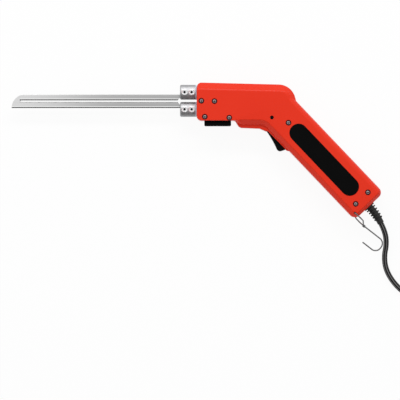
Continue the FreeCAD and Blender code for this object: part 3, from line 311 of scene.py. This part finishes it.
# Housing
# Two shells moulded in red glass-filled nylon, joined on a flat parting plane by seven screws. A sloped facet
# with a rounded ridge runs along the barrel's back, and a steeper one under the belly and down the front of
# the grip. The outline is in the barrel's frame, which starts at the nose, with x along the barrel's axis.
shell_low, shell_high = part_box("housing_left")
nose_top = 0.0201
nose_x = shell_low[0]
axis_y = shell_high[1] - nose_top
parting_z = shell_low[2]
half = shell_high[2] - shell_low[2]
lean = math.radians(46.4)
bend_x = 0.0793
grip_half = 0.0217
grip_length = 0.1602
nose_bottom = 0.0218
belly_bottom = 0.0262
belly_start = 0.0410
shoulder_x = 0.1047
shoulder_y = nose_top - 0.0026
slope = math.radians(15.0)
wall = 0.0030


def on_grip(along, across):
    """Point of the barrel's frame that lies so far down the grip and so far across it, towards its back."""
    cos, sin = math.cos(lean), math.sin(lean)
    return bend_x + along * cos + across * sin, across * cos - along * sin


kink_drop = 0.0172
kink_x = shoulder_x + kink_drop * math.tan(slope)
kink_y = (grip_half - (kink_x - bend_x) * math.sin(lean)) / math.cos(lean)
crook_x = bend_x + (belly_bottom * math.cos(lean) - grip_half) / math.sin(lean)
# Each corner of the outline: its place, and the radius that rounds it
shell_corners = [
    (0.0, -nose_bottom, 0.0055),  # nose, bottom
    (belly_start, -nose_bottom, 0.0020),  # start of the step to the belly
    (belly_start + 0.0080, -belly_bottom, 0.0080),  # belly
    (crook_x, -belly_bottom, 0.0120),  # crook of barrel and grip
    (*on_grip(grip_length, -grip_half), 0.0068),  # grip's end, front
    (*on_grip(grip_length, grip_half), 0.0068),  # grip's end, back
    (kink_x, kink_y, 0.0040),  # kink where the grip's back meets the shoulder
    (shoulder_x, shoulder_y, 0.0189),  # shoulder
    (0.0, nose_top, 0.0055),  # nose, top
]


def facet(height, width, drop, ridge):
    """How far in the wall is at a height: a slope of a width and drop up to the face, with a rounded ridge.

    The slope's foot runs softly into the upright wall: half the sum of the slope and the root of its square
    plus blend's square, less half of blend. The ridge is an arc that touches the slope and ends on the face.
    """
    blend = 0.0004
    run = math.hypot(width, drop)
    middle = ((drop - ridge) * width + ridge * run) / drop
    slope_part = np.maximum(0, (height - (half - drop)) * width / drop)
    slope_part = 0.5 * (slope_part + np.sqrt(slope_part ** 2 + blend ** 2)) - blend / 2
    rise = np.clip(height - (half - ridge), 0, ridge)
    top_part = middle - np.sqrt(np.maximum(0, ridge ** 2 - rise ** 2))
    touch = half - ridge + ridge * width / run
    return np.where(height > touch, top_part, slope_part)


def rounding(height, width, drop):
    """How far in the wall is at a height: a quarter of an ellipse of a width and drop, up to the face."""
    rise = np.clip((height - (half - drop)) / drop, 0, 1)
    return width * (1 - np.sqrt(1 - rise ** 2))


def ring_points(corners, insets, corner_steps=14, side_steps=10):
    """Rounded outlines for many rows of side insets at once, as rows x points x 2.

    Each side moves inwards by its own inset, its corners move to where neighbouring sides now meet, and each
    corner's radius shrinks (or grows, in a hollow corner) by the mean of its two insets.
    """
    base = np.array([corner[:2] for corner in corners])
    radii = np.array([corner[2] for corner in corners])
    count = len(base)
    along = np.roll(base, -1, 0) - base
    along /= np.linalg.norm(along, axis=1)[:, None]
    inward = np.column_stack([-along[:, 1], along[:, 0]])
    before = np.roll(np.arange(count), 1)
    turn = np.arctan2(
        along[before, 0] * along[:, 1] - along[before, 1] * along[:, 0], (along[before] * along).sum(1)
    )
    # The corners' places, where neighbouring sides meet
    solve = np.linalg.inv(np.stack([inward[before], inward], 1))
    both = np.stack([insets[:, before], insets], -1)
    points = base + np.einsum("jab,kjb->kja", solve, both)
    # What each arc takes of its sides, which is less where two arcs would meet on a short side
    least_radius = 0.0003
    most_of_side = 0.98
    radius = np.maximum(radii - np.sign(turn) * both.mean(-1), least_radius)
    wish = radius * np.tan(np.abs(turn) / 2)
    room = np.linalg.norm(np.roll(points, -1, 1) - points, axis=2)
    fit = np.minimum(1, most_of_side * room / (wish + np.roll(wish, -1, 1)))
    tangent = wish * np.minimum(fit, fit[:, before])
    radius = tangent / np.tan(np.abs(turn) / 2)
    # Each arc from its start round its centre, then points along the side to the next arc's start
    start = points - along[before] * tangent[..., None]
    centre = start + inward[before] * (radius * np.sign(turn))[..., None]
    spoke = start - centre
    angles = np.linspace(0, 1, corner_steps + 1)[:, None] * turn
    cos, sin = np.cos(angles), np.sin(angles)
    arc = np.stack([
        spoke[:, None, :, 0] * cos - spoke[:, None, :, 1] * sin,
        spoke[:, None, :, 0] * sin + spoke[:, None, :, 1] * cos,
    ], -1) + centre[:, None]
    finish = arc[:, -1]
    target = np.roll(start, -1, 1)
    share = (np.arange(1, side_steps) / side_steps)[:, None, None]
    side = finish[:, None] * (1 - share) + target[:, None] * share
    every = np.concatenate([arc, side], 1)
    return every.transpose(0, 2, 1, 3).reshape(len(insets), -1, 2)


def stacked(name, rings, levels):
    """A mesh through rings of points at levels: quads between neighbours, and one face on each end ring."""
    rows, count = rings.shape[:2]
    points = np.concatenate([rings, np.broadcast_to(np.asarray(levels)[:, None, None], (rows, count, 1))], -1)
    row, column = np.meshgrid(np.arange(rows - 1), np.arange(count), indexing="ij")
    onward = (column + 1) % count
    here, above = row * count, (row + 1) * count
    faces = np.stack([here + column, here + onward, above + onward, above + column], -1)
    faces = faces.reshape(-1, 4).tolist()
    faces.append(list(range(count))[::-1])
    faces.append(list(range((rows - 1) * count, rows * count)))
    mesh = bpy.data.meshes.new(name)
    mesh.from_pydata(points.reshape(-1, 3).tolist(), [], faces)
    mesh.update()
    piece = bpy.data.objects.new(name, mesh)
    scene.collection.objects.link(piece)
    return piece


def seat(points, side=1):
    """Points of the barrel's frame as points of the part; side -1 is the shell that lies on the table."""
    points = np.array(points, dtype=float)
    return points * (1, 1, side) + (nose_x, axis_y, parting_z)


def settle(piece, side=1):
    """Moves a mesh from the barrel's frame to its place; side -1 is the shell that lies on the table."""
    if side < 0:
        piece.data.flip_normals()
    points = np.empty(len(piece.data.vertices) * 3)
    piece.data.vertices.foreach_get("co", points)
    piece.data.vertices.foreach_set("co", seat(points.reshape(-1, 3), side).reshape(-1))
    piece.data.update()
    return piece


def turned(name, rows, centre, direction):
    """A turned solid: rows of radius and height along a direction from a centre, closed at both ends."""
    steps = 48
    direction = np.array(direction, dtype=float)
    direction /= np.linalg.norm(direction)
    helper = np.array([0.0, 0.0, 1.0]) if abs(direction[2]) < 0.9 else np.array([1.0, 0.0, 0.0])
    first = np.cross(helper, direction)
    first /= np.linalg.norm(first)
    second = np.cross(direction, first)
    angle = np.arange(steps) / steps * 2 * math.pi
    spokes = np.cos(angle)[:, None] * first + np.sin(angle)[:, None] * second
    rows = np.array(rows)
    rings = rows[:, 0, None, None] * spokes + rows[:, 1, None, None] * direction + np.array(centre)
    piece = stacked(name, rings[..., :2], np.zeros(len(rows)))
    piece.data.vertices.foreach_set("co", rings.reshape(-1))
    piece.data.update()
    return piece


def cut(piece, *cutters):
    """Takes cutters away from a piece and drops them."""
    for cutter in cutters:
        difference = piece.modifiers.new("cut", "BOOLEAN")
        difference.operation = "DIFFERENCE"
        difference.solver = "EXACT"
        difference.object = cutter
    applied = bpy.data.meshes.new_from_object(piece.evaluated_get(bpy.context.evaluated_depsgraph_get()))
    piece.modifiers.clear()
    piece.data = applied
    for cutter in cutters:
        bpy.data.objects.remove(cutter)


# Places in the barrel's frame
screw_places = [
    (0.0052, -0.0003), (0.0196, -0.0007), (0.0090, -0.0178), (0.0358, -0.0189),
    on_grip(0.0325, -0.00125), on_grip(0.1480, 0.0092), on_grip(0.1480, -0.0092),
]
pin_place = on_grip(0.0157, -0.01035)
hook_place = on_grip(0.1545, 0.0051 - grip_half)


def shell(name, side):
    """One half of the housing: an outer skin, and an inner skin a wall's thickness inside it."""
    swing = np.linspace(0, math.pi / 2, 25)
    drop = 0.0090
    groove_height = 0.00035
    groove_depth = 0.00030
    height = np.concatenate([[0.0, groove_height, 0.0040], half - drop + drop * np.sin(swing)])
    height[-1] = half
    # A fine groove shows where the shells meet
    groove = np.array([groove_depth] + [0.0] * (len(height) - 1))
    # Each side's edge, from its corner in shell_corners to the next: width, drop and a facet's ridge
    edges = [
        rounding(height, 0.0008, 0.0012),  # under the nose
        facet(height, 0.0030, 0.0050, 0.0012),  # the step to the belly
        facet(height, 0.0055, 0.0062, 0.0012),  # belly
        facet(height, 0.0052, 0.0062, 0.0014),  # grip's front
        facet(height, 0.0038, 0.0062, 0.0012),  # grip's end
        rounding(height, 0.0060, 0.0080),  # grip's back
        facet(height, 0.0070, 0.0062, 0.0045),  # shoulder
        facet(height, 0.0072, 0.0062, 0.0045),  # barrel's back
        rounding(height, 0.0009, 0.0012),  # nose
    ]
    insets = np.stack(edges, 1)
    outer = ring_points(shell_corners, insets + groove[:, None])
    deep = height <= half - wall
    inner = ring_points(shell_corners, insets[deep] + wall)
    inner_top = ring_points(shell_corners, (insets[deep][-1] + wall)[None])
    rings = np.concatenate([inner_top, inner[::-1], outer])
    levels = np.concatenate([[half - wall], height[deep][::-1], height])
    return settle(stacked(name, rings, levels), side)


def upright_hole(name, place, rows, side):
    """A cutter that stands upright at a place: rows of radius and height above the parting plane."""
    return turned(name, rows, seat((*place, 0.0)), (0, 0, side))


def guard(name, side):
    """The narrow finger guard under the belly and the two cheeks beside the trigger, on one shell."""
    low = -(belly_bottom + 0.0035)
    lip = -(grip_half + 0.0020)
    lip_end = -(grip_half + 0.0016)
    guard_end = -(grip_half + 0.0035)
    step_x = on_grip(0.0157, guard_end)[0]
    slant = (-nose_bottom - low) / math.tan(math.radians(57))
    # From under the nose down to the guard and along it, down the cheek before the grip, and back up inside
    corners = [
        (0.0360, 0.0060 - nose_bottom, 0.0003),
        (0.0360, 0.0002 - nose_bottom, 0.0003),
        (0.0420, 0.0002 - nose_bottom, 0.0042),
        (0.0420 + slant, low, 0.0060),
        (step_x - 0.0022, low - 0.0009, 0.0010),
        (step_x, low - 0.0020, 0.0012),
        (*on_grip(0.0223, guard_end), 0.0008),
        (*on_grip(0.0240, lip), 0.0010),
        (*on_grip(0.0541, lip_end), 0.0050),
        (*on_grip(0.0557, -grip_half), 0.0008),
        (*on_grip(0.0530, 0.0020 - grip_half), 0.0008),
        (*on_grip(0.0223, 0.0030 - grip_half), 0.0010),
        (step_x - 0.0022, 0.0030 - belly_bottom, 0.0010),
        (0.0500, 0.0040 - belly_bottom, 0.0010),
        (0.0410, 0.0060 - nose_bottom, 0.0010),
    ]
    top = 0.0100
    round_off = 0.0014
    swing = np.linspace(0, math.pi / 2, 9)
    height = np.concatenate([[0.0], top - round_off + round_off * np.sin(swing)])
    inset = np.concatenate([[0.0], round_off * (1 - np.cos(swing))])
    rings = ring_points(corners, np.repeat(inset[:, None], len(corners), 1), 8, 6)
    return settle(stacked(name, rings, height), side)


def slot_cutter(name):
    """The gap that the trigger swings in."""
    places = ((0.0219, -0.0290), (0.0522, -0.0290), (0.0545, -0.0170), (0.0163, -0.0170))
    corner_radius = 0.0004
    half_gap = 0.0064
    corners = [(*on_grip(*place), corner_radius) for place in places]
    return settle(stacked(name, ring_points(corners, np.zeros((2, 4)), 2, 2), [-half_gap, half_gap]))


def joined(name, *pieces):
    """Pieces made one object; the first gives its mesh its name."""
    for piece in scene.objects:
        piece.select_set(piece in pieces)
    bpy.context.view_layer.objects.active = pieces[0]
    bpy.ops.object.join()
    pieces[0].name = name
    return pieces[0]


def smooth(piece, angle=32):
    """Soft shading, with a crease wherever two faces meet at more than an angle."""
    piece.data.shade_smooth()
    piece.data.set_sharp_from_angle(angle=math.radians(angle))


def end_hole(name):
    """The round way out for the cord's sleeve, down the grip on the parting plane."""
    radius = 0.0047
    inside = 0.012
    length = 0.030
    start = on_grip(grip_length - inside, 0.0)
    rows = [(radius, 0.0), (radius, length)]
    return turned(name, rows, seat((*start, 0.0)), (math.cos(lean), -math.sin(lean), 0))


def nose_holes(name):
    """The two round ways out for the clamp blocks' shanks."""
    radius = 0.0064
    length = 0.020
    rows = [(radius, 0.0), (radius, length)]
    off_axis = 0.00945
    before_nose = -0.006
    return [
        turned(f"{name}_{row}", rows, seat((before_nose, y, 0.0)), (1, 0, 0))
        for row, y in enumerate((off_axis, -off_axis))
    ]


# Holes as rows of radius and height. A screw's recess has a flat floor, an upright wall and a broken edge at
# the face, and the right shell has a wide hollow round the hook's wire
recess = [(0.0031, half - 0.0022), (0.0031, half - 0.0003), (0.0035, half + 0.0001), (0.0035, half + 0.01)]
pin_way = [(0.0021, -0.001), (0.0021, half + 0.001)]
hook_way = [(0.00135, -0.001), (0.00135, half + 0.001)]
hook_room = [(0.0095, half - 0.0019), (0.0095, half + 0.002)]
# The label's tray is round at its ends, where each of two corners has almost half the width as its radius
label_reach = (0.0381, 0.1399)
label_middle = -0.00085
label_half = 0.0102
label_radius = 0.0101
tray_depth = 0.0006
red_nylon = Finish("red_nylon", Specular_IOR_Level=0.15)
broad = red_nylon.noise(22, 2)
grain = red_nylon.noise(2600, 2)
red_nylon.set(
    Base_Color=red_nylon.blend(broad, (0.750, 0.029, 0.009), (0.780, 0.034, 0.011)),
    Roughness=0.26 + red_nylon.noise(90, 3) * 0.08,
    Normal=red_nylon.bump(grain, 0.000012),
)
for side, name, node in ((1, "left_shell", "housing_left"), (-1, "right_shell", "housing_right")):
    piece = shell(name, side)
    cheeks = guard(f"{name}_guard", side)
    cutters = [slot_cutter("slot"), end_hole("sleeve_way"), *nose_holes("shank_way")]
    cutters.append(upright_hole("pin_way", pin_place, pin_way, side))
    cutters.append(upright_hole("hook_way", hook_place, hook_way, side))
    if side > 0:
        for number, place in enumerate(screw_places):
            cutters.append(upright_hole(f"recess_{number}", place, recess, side))
        ends = [(*on_grip(label_reach[0], label_half * row + label_middle), label_radius) for row in (-1, 1)]
        ends += [(*on_grip(label_reach[1], label_half * row + label_middle), label_radius) for row in (1, -1)]
        tray_rings = ring_points(ends, np.zeros((2, 4)), 24, 2)
        tray = settle(stacked("label_tray", tray_rings, [half - tray_depth, half + 0.002]))
        # Its corners run clockwise, so its faces come out facing inwards
        tray.data.flip_normals()
        cutters.append(tray)
    else:
        cutters.append(upright_hole("hook_room", hook_place, hook_room, side))
    cut(piece, *cutters)
    cut(cheeks, slot_cutter("slot"))
    piece = joined(name, piece, cheeks)
    smooth(piece)
    piece.data.materials.clear()
    piece.data.materials.append(red_nylon.material)
    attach(piece, "housing")
    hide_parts(node)


# Housing screws
# Seven cross-head screws, sunk in round recesses of the left shell. Each head's dome is painted bright grey
# down to a fraction of a millimetre, a painted highlight, and all below it is painted near black, which is
# painted shade in the recess round the head.
oxide_and_painted_light = Finish("oxide_and_painted_light", Metallic=0.85)
pits = oxide_and_painted_light.noise(1800, 3)
head_top = half - 0.0005
below = (parting_z + head_top) - oxide_and_painted_light.place()[2]
# Painted highlight: 1 on each head's dome down to a fraction of a millimetre below its top, 0 below it.
crown = 1 - below.step(0.00012, 0.00036)
# The dark colour is painted shade on the housing screws' sides and flanges, and the whole colour of the
# screws inside.
oxide_and_shade_tone = oxide_and_painted_light.blend(pits, (0.030, 0.012, 0.018), (0.060, 0.022, 0.032))
oxide_and_painted_light.set(
    Base_Color=oxide_and_painted_light.blend(crown, oxide_and_shade_tone, (0.46, 0.41, 0.41)),
    Roughness=0.36 + pits * 0.2,
    Normal=oxide_and_painted_light.bump(pits, 0.00003),
)
wear(oxide_and_painted_light, "guide_rail_screws", "cord_clamp_screws")


def cross_screw(places, top):
    """Cross-head screws that stand upright: a domed head with a cross cut in it, a flange and a shank.

    The surface is a grid of rings by angle. The head's height is a dome less the cross, and the cross is a
    smooth trench along two lines through the middle.
    """
    steps = 72
    head_radius = 0.0019
    dome_height = 0.00035
    cross_depth = 0.0008
    cross_reach, reach_blend = 0.00135, 0.0003
    cross_half_width, width_blend = 0.00042, 0.00016
    angle = np.arange(steps) / steps * 2 * math.pi
    radii = np.linspace(0.00002, head_radius, 16)
    x, y = radii[:, None] * np.cos(angle), radii[:, None] * np.sin(angle)
    off_arm = np.minimum(np.abs(x), np.abs(y))
    trench = np.clip((cross_half_width - off_arm) / width_blend, 0, 1)
    trench = trench * np.clip((cross_reach - radii[:, None]) / reach_blend, 0, 1)
    crown = -dome_height * (radii[:, None] / head_radius) ** 2 - cross_depth * trench
    # Rows of radius and height below the head's top: the head's side, the flange and the shank
    side = np.array([
        (0.0020, -0.00048), (0.00204, -0.0007), (0.00204, -0.00125),
        (0.00285, -0.0013), (0.00292, -0.0014), (0.00292, -0.0017),
        (0.0014, -0.0017), (0.0014, -0.0235), (0.00002, -0.0238),
    ])
    flare = np.repeat(side[:, :1], steps, 1)
    x = np.concatenate([x, flare * np.cos(angle)])
    y = np.concatenate([y, flare * np.sin(angle)])
    z = np.concatenate([crown, np.repeat(side[:, 1:], steps, 1)])
    one = np.stack([x, y, z], -1)[::-1]
    pieces = []
    for number, place in enumerate(places):
        piece = stacked(f"screw_{number}", one[..., :2], np.zeros(len(one)))
        piece.data.vertices.foreach_set("co", (one + seat((*place, top))).reshape(-1))
        pieces.append(piece)
    return pieces


screws = joined("cross_head_screws", *cross_screw(screw_places, head_top))
smooth(screws, 40)
screws.data.materials.append(oxide_and_painted_light.material)
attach(screws, "housing")
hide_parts("housing_screws")


# Clamp blocks
# Two turned steel blocks, each with a knurled back, that carry the current to the blade's legs and hold them.
# Four set screws sit in holes whose rims are painted bright, a painted highlight, and the middle of each set
# screw is painted near black over its socket, which is painted shade. Mica board and ceramic bushes keep the
# heat off the nose.
set_screw_radius = 0.0025
socket_low, socket_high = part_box("set_screws")
socket_rows = (socket_low[1] + set_screw_radius, socket_high[1] - set_screw_radius)
socket_columns = (socket_low[0] + set_screw_radius, socket_high[0] - set_screw_radius)


def from_socket(finish):
    """Distance from the nearest of the four set screws' upright axes."""
    x, y, _ = finish.place()
    rows = [abs(y - row) for row in socket_rows]
    columns = [abs(x - column) for column in socket_columns]
    across = rows[0].math("MINIMUM", *rows)
    along = columns[0].math("MINIMUM", *columns)
    return across.math("SQRT", across * across + along * along)


turned_steel = Finish("turned_steel", Metallic=1.0)
tick_pitch = 0.0015
streak = turned_steel.noise(420, 4, (1.0, 0.06, 0.06))
facing = turned_steel.split(turned_steel.add("ShaderNodeNewGeometry", output="Normal"))[1]
back = facing.step(0.66, 0.80)
ticks = (turned_steel.place()[0] * (2 * math.pi / tick_pitch)).wave()
# Painted highlight: a bright ring round each set screw's hole.
painted_rim_highlight = 1 - from_socket(turned_steel).step(0.0031, 0.0034)
steel = turned_steel.blend(streak, (0.36, 0.36, 0.37), (0.48, 0.48, 0.49))
steel = turned_steel.blend(ticks * back, steel, (0.30, 0.30, 0.31))
turned_steel.set(
    Base_Color=turned_steel.blend(painted_rim_highlight, steel, (0.88, 0.88, 0.89)),
    Roughness=0.50 + streak * 0.14,
    Normal=turned_steel.bump(ticks * back, 0.00022),
)
wear(turned_steel, "clamp_block_upper", "clamp_block_lower")

screw_steel = Finish("screw_steel", Metallic=1.0)
fine = screw_steel.noise(1500, 3)
# Painted shade: the middle of each set screw, over its socket, is painted near black.
middle = 1 - from_socket(screw_steel).step(0.0013, 0.0015)
bright = screw_steel.blend(fine, (0.72, 0.72, 0.73), (0.86, 0.86, 0.87))
screw_steel.set(
    Base_Color=screw_steel.blend(middle, bright, (0.010, 0.010, 0.010)),
    Roughness=0.32 + fine * 0.2,
    Normal=screw_steel.bump(fine, 0.00002),
)
wear(screw_steel, "set_screws", "strap_screws")

mottled(
    "mica_board", ["insulating_washers"], dark=(0.34, 0.47, 0.56), light=(0.50, 0.64, 0.74),
    grain=(300, 4, (1.0, 0.4, 0.4)), rough=(0.25, 0.3), relief=0.00003, Specular_IOR_Level=0.6,
)
mottled(
    "white_ceramic", ["insulator_bush_upper", "insulator_bush_lower"],
    dark=(0.70, 0.67, 0.60), light=(0.84, 0.82, 0.77),
    grain=(900, 3), rough=(0.55, 0.25), relief=0.00004, Specular_IOR_Level=0.3,
)


# Blade
# One long strip of resistance alloy with a slot down its middle. Its two legs join at the slanted tip. The
# lower edge of each leg is ground thin, with fine nicks in it that bite into foam. The ground edges, at the
# bottom and along the slot, are painted dark and near black in the nicks, which is painted shade. A bright
# line along each bevel's ridge is a painted highlight, and the strip is painted lighter towards the tip,
# which is a painted reflection.
alloy = Finish("ground_alloy", Metallic=1.0)
bx, by, _ = alloy.place()
lines = alloy.noise(300, 5, (0.02, 1.0, 1.0))
cloud = alloy.noise(35, 2, (0.3, 1.0, 1.0))
blade_low, blade_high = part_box("blade")
lower_edge = axis_y - 0.0079
slot_edge = axis_y + 0.0005
tang_length = 0.0155
nick_pitch = 0.0024
above_edge = by - lower_edge
above_slot = by - slot_edge
from_tip = bx - blade_low[0]
beyond_tip = from_tip.step(0.0085, 0.0095)
before_tangs = 1 - (bx - (blade_high[0] - tang_length)).step(-0.0005, 0.0)
# Painted shade: the ground edges, below the bevel and along the slot past the tip, are painted dark. The
# nicks are also relief.
low_ground_and_shade = 1 - above_edge.step(0.0011, 0.0014)
slot_ground_and_shade = above_slot.band((-0.0003, 0.0), (0.0012, 0.0015))
ground_and_shade = (low_ground_and_shade + slot_ground_and_shade * beyond_tip) * before_tangs
# Painted highlight: a bright line along each bevel's ridge.
low_painted_highlight = above_edge.band((0.0012, 0.0015), (0.0018, 0.0022))
slot_painted_highlight = above_slot.band((0.0013, 0.0016), (0.0019, 0.0023)) * beyond_tip
nick = (bx * (2 * math.pi / nick_pitch)).wave().step(0.25, 0.75)
# Painted reflection: the strip is painted lighter towards the tip.
painted_tip_reflection = 1 - from_tip.step(0.0, 0.13)
strip = alloy.blend(lines * 0.6 + cloud * 0.4, (0.39, 0.39, 0.39), (0.49, 0.49, 0.49))
strip = alloy.blend(painted_tip_reflection, strip, (0.70, 0.70, 0.70))
strip = alloy.blend((low_painted_highlight + slot_painted_highlight) * before_tangs, strip, (0.95, 0.95, 0.95))
# Painted shade on the ground edges, near black in the nicks.
nicks_and_painted_shade = alloy.blend(nick, (0.015, 0.015, 0.015), (0.27, 0.27, 0.27))
alloy.set(
    Base_Color=alloy.blend(ground_and_shade, strip, nicks_and_painted_shade),
    Roughness=0.30 + lines * 0.18,
    Normal=alloy.bump(lines - ground_and_shade * nick * 4, 0.00003),
)
wear(alloy, "blade")


# Guide rail and trigger
# Both are moulded in black nylon: the rail is screwed under the nose, and the trigger turns on a pin that
# goes through both shells.
mottled(
    "black_nylon", ["guide_rail", "trigger", "trigger_pin", "switch_body", "cord_clamp"],
    dark=(0.0015, 0.0015, 0.0015), light=(0.0045, 0.0045, 0.0045),
    grain=(1300, 3), rough=(0.40, 0.15), relief=0.00003, Specular_IOR_Level=0.04,
)


# Label plate
# A long black plate with round ends, let into the left shell and left bare. It is a little glossier than the
# moulded parts, with a haze on it.
plate = Finish("plate_black", Specular_IOR_Level=0.04)
haze = plate.noise(60, 3)
plate.set(
    Base_Color=plate.blend(haze, (0.0008, 0.0008, 0.0008), (0.0025, 0.0025, 0.0025)),
    Roughness=0.28 + haze * 0.12,
    Normal=plate.bump(plate.noise(1800, 2), 0.00001),
)
wear(plate, "label_plate")


# Hanging hook
# Plated spring wire: a loop through the corner of the grip, twisted together, a straight shank and a J. The
# plating is grey, and bright only where it mirrors the lamp.
mottled(
    "plated_wire", ["hanging_hook"], dark=(0.08, 0.08, 0.08), light=(0.22, 0.22, 0.22),
    grain=(700, 3), rough=(0.20, 0.15), relief=0.00002, Metallic=1.0,
)


# Inside the housing
# The current supply: laminated core, bobbin, winding, strap and terminal board, with the switch's plunger and
# leads. The core is a stack of sheets, and the winding's wires lie side by side along the barrel.
sheet_pitch = 0.0005
laminated = Finish("laminated_iron", Metallic=0.6)
sheets = (laminated.place()[2] * (2 * math.pi / sheet_pitch)).wave()
laminated.set(
    Base_Color=laminated.blend(sheets, (0.07, 0.07, 0.08), (0.20, 0.20, 0.21)),
    Roughness=0.45 + sheets * 0.2,
    Normal=laminated.bump(sheets, 0.00005),
)
wear(laminated, "transformer_core")

mottled(
    "white_nylon", ["transformer_bobbin", "switch_plunger"],
    dark=(0.72, 0.70, 0.64), light=(0.84, 0.83, 0.79),
    grain=(500, 3), rough=(0.42, 0.15), relief=0.00002, Specular_IOR_Level=0.3,
)

wire_pitch = 0.0006
enamel = Finish("enamelled_copper", Metallic=0.7)
wires = (enamel.place()[0] * (2 * math.pi / wire_pitch)).wave()
enamel.set(
    Base_Color=enamel.blend(wires, (0.22, 0.07, 0.02), (0.66, 0.28, 0.11)),
    Roughness=0.28 + wires * 0.1,
    Normal=enamel.bump(wires, 0.00015),
)
wear(enamel, "primary_winding")

mottled(
    "bare_copper", ["secondary_strap"], dark=(0.55, 0.27, 0.15), light=(0.80, 0.46, 0.30),
    grain=(240, 4), rough=(0.28, 0.25), relief=0.00002, Metallic=1.0,
)
mottled(
    "pressed_board", ["terminal_strip"], dark=(0.16, 0.08, 0.035), light=(0.34, 0.19, 0.09),
    grain=(700, 5, (1.0, 0.3, 1.0)), rough=(0.55, 0.2), relief=0.00004, Specular_IOR_Level=0.25,
)
mottled(
    "brown_insulation", ["lead_to_switch", "switch_lead"],
    dark=(0.10, 0.035, 0.012), light=(0.19, 0.07, 0.03),
    grain=(400, 3), rough=(0.35, 0.15), relief=0.00003, Specular_IOR_Level=0.4,
)
mottled(
    "blue_insulation", ["lead_to_transformer"], dark=(0.01, 0.05, 0.24), light=(0.02, 0.10, 0.42),
    grain=(400, 3), rough=(0.35, 0.15), relief=0.00003, Specular_IOR_Level=0.4,
)


# Table and light
# A pale table, which glows to the camera and in reflections but lights the tool like a plain one, and one
# wide soft lamp above and behind the tool. The sky is even, but glossy faces see it brighter to the back.
table = Finish("pale_table", Base_Color=(0.90, 0.90, 0.90, 1.0), Roughness=0.8, Specular_IOR_Level=0.1)
rays = table.read("ShaderNodeLightPath", ["Is Camera Ray", "Is Glossy Ray", "Is Transmission Ray"])
seen = rays[0] + rays[1] + rays[2]
seen = seen.math("MINIMUM", seen, 1.0)
glow_share = 0.93
glow = table.add("ShaderNodeEmission", {}, {"Color": (1, 1, 1, 1), "Strength": 1.0})
paler = table.add("ShaderNodeMixShader", {}, {0: glow_share, 1: table.surface, 2: glow})
chosen = table.add("ShaderNodeMixShader", {}, {0: seen, 1: table.surface, 2: paler})
table.link(table.output.inputs["Surface"], chosen)
table_half = 6.0
table_z = -0.0002
floor_mesh = bpy.data.meshes.new("table")
floor_corners = [(x * table_half, y * table_half, table_z) for x, y in ((-1, -1), (1, -1), (1, 1), (-1, 1))]
floor_mesh.from_pydata(floor_corners, [], [(0, 1, 2, 3)])
floor_mesh.materials.append(table.material)
floor = bpy.data.objects.new("table", floor_mesh)
scene.collection.objects.link(floor)

world = bpy.data.worlds.new("sky")
world.use_nodes = True
scene.world = world
sky = Graph(world.node_tree)
by_camera, by_gloss = sky.read("ShaderNodeLightPath", ["Is Camera Ray", "Is Glossy Ray"])
backward = sky.split(sky.add("ShaderNodeTexCoord", output="Generated"))[1]
sky_level, front_level, back_level = 0.82, 0.05, 2.10
mirrored = sky.add("ShaderNodeMapRange", {}, {
    "Value": backward, "From Min": -1.0, "From Max": 1.0, "To Min": front_level, "To Max": back_level,
})
level = sky.add("ShaderNodeMix", {}, {0: by_gloss, 2: sky_level, 3: mirrored})
level = sky.add("ShaderNodeMix", {}, {0: by_camera, 2: level, 3: 1.0})
air = sky.add("ShaderNodeBackground", {}, {"Strength": level})
sky.add("ShaderNodeOutputWorld", {}, {"Surface": air})

lamp_place = Vector((0.05, 1.10, 1.10))
lamp_aim = Vector((0.05, 0.0, 0.0))
lamp_data = bpy.data.lights.new("strip_lamp", "AREA")
lamp_data.shape = "RECTANGLE"
lamp_data.size = 1.6
lamp_data.size_y = 0.25
lamp_data.energy = 12.5
lamp = bpy.data.objects.new("strip_lamp", lamp_data)
lamp.location = lamp_place
lamp.rotation_euler = (lamp_aim - lamp_place).to_track_quat("-Z", "Y").to_euler()
scene.collection.objects.link(lamp)
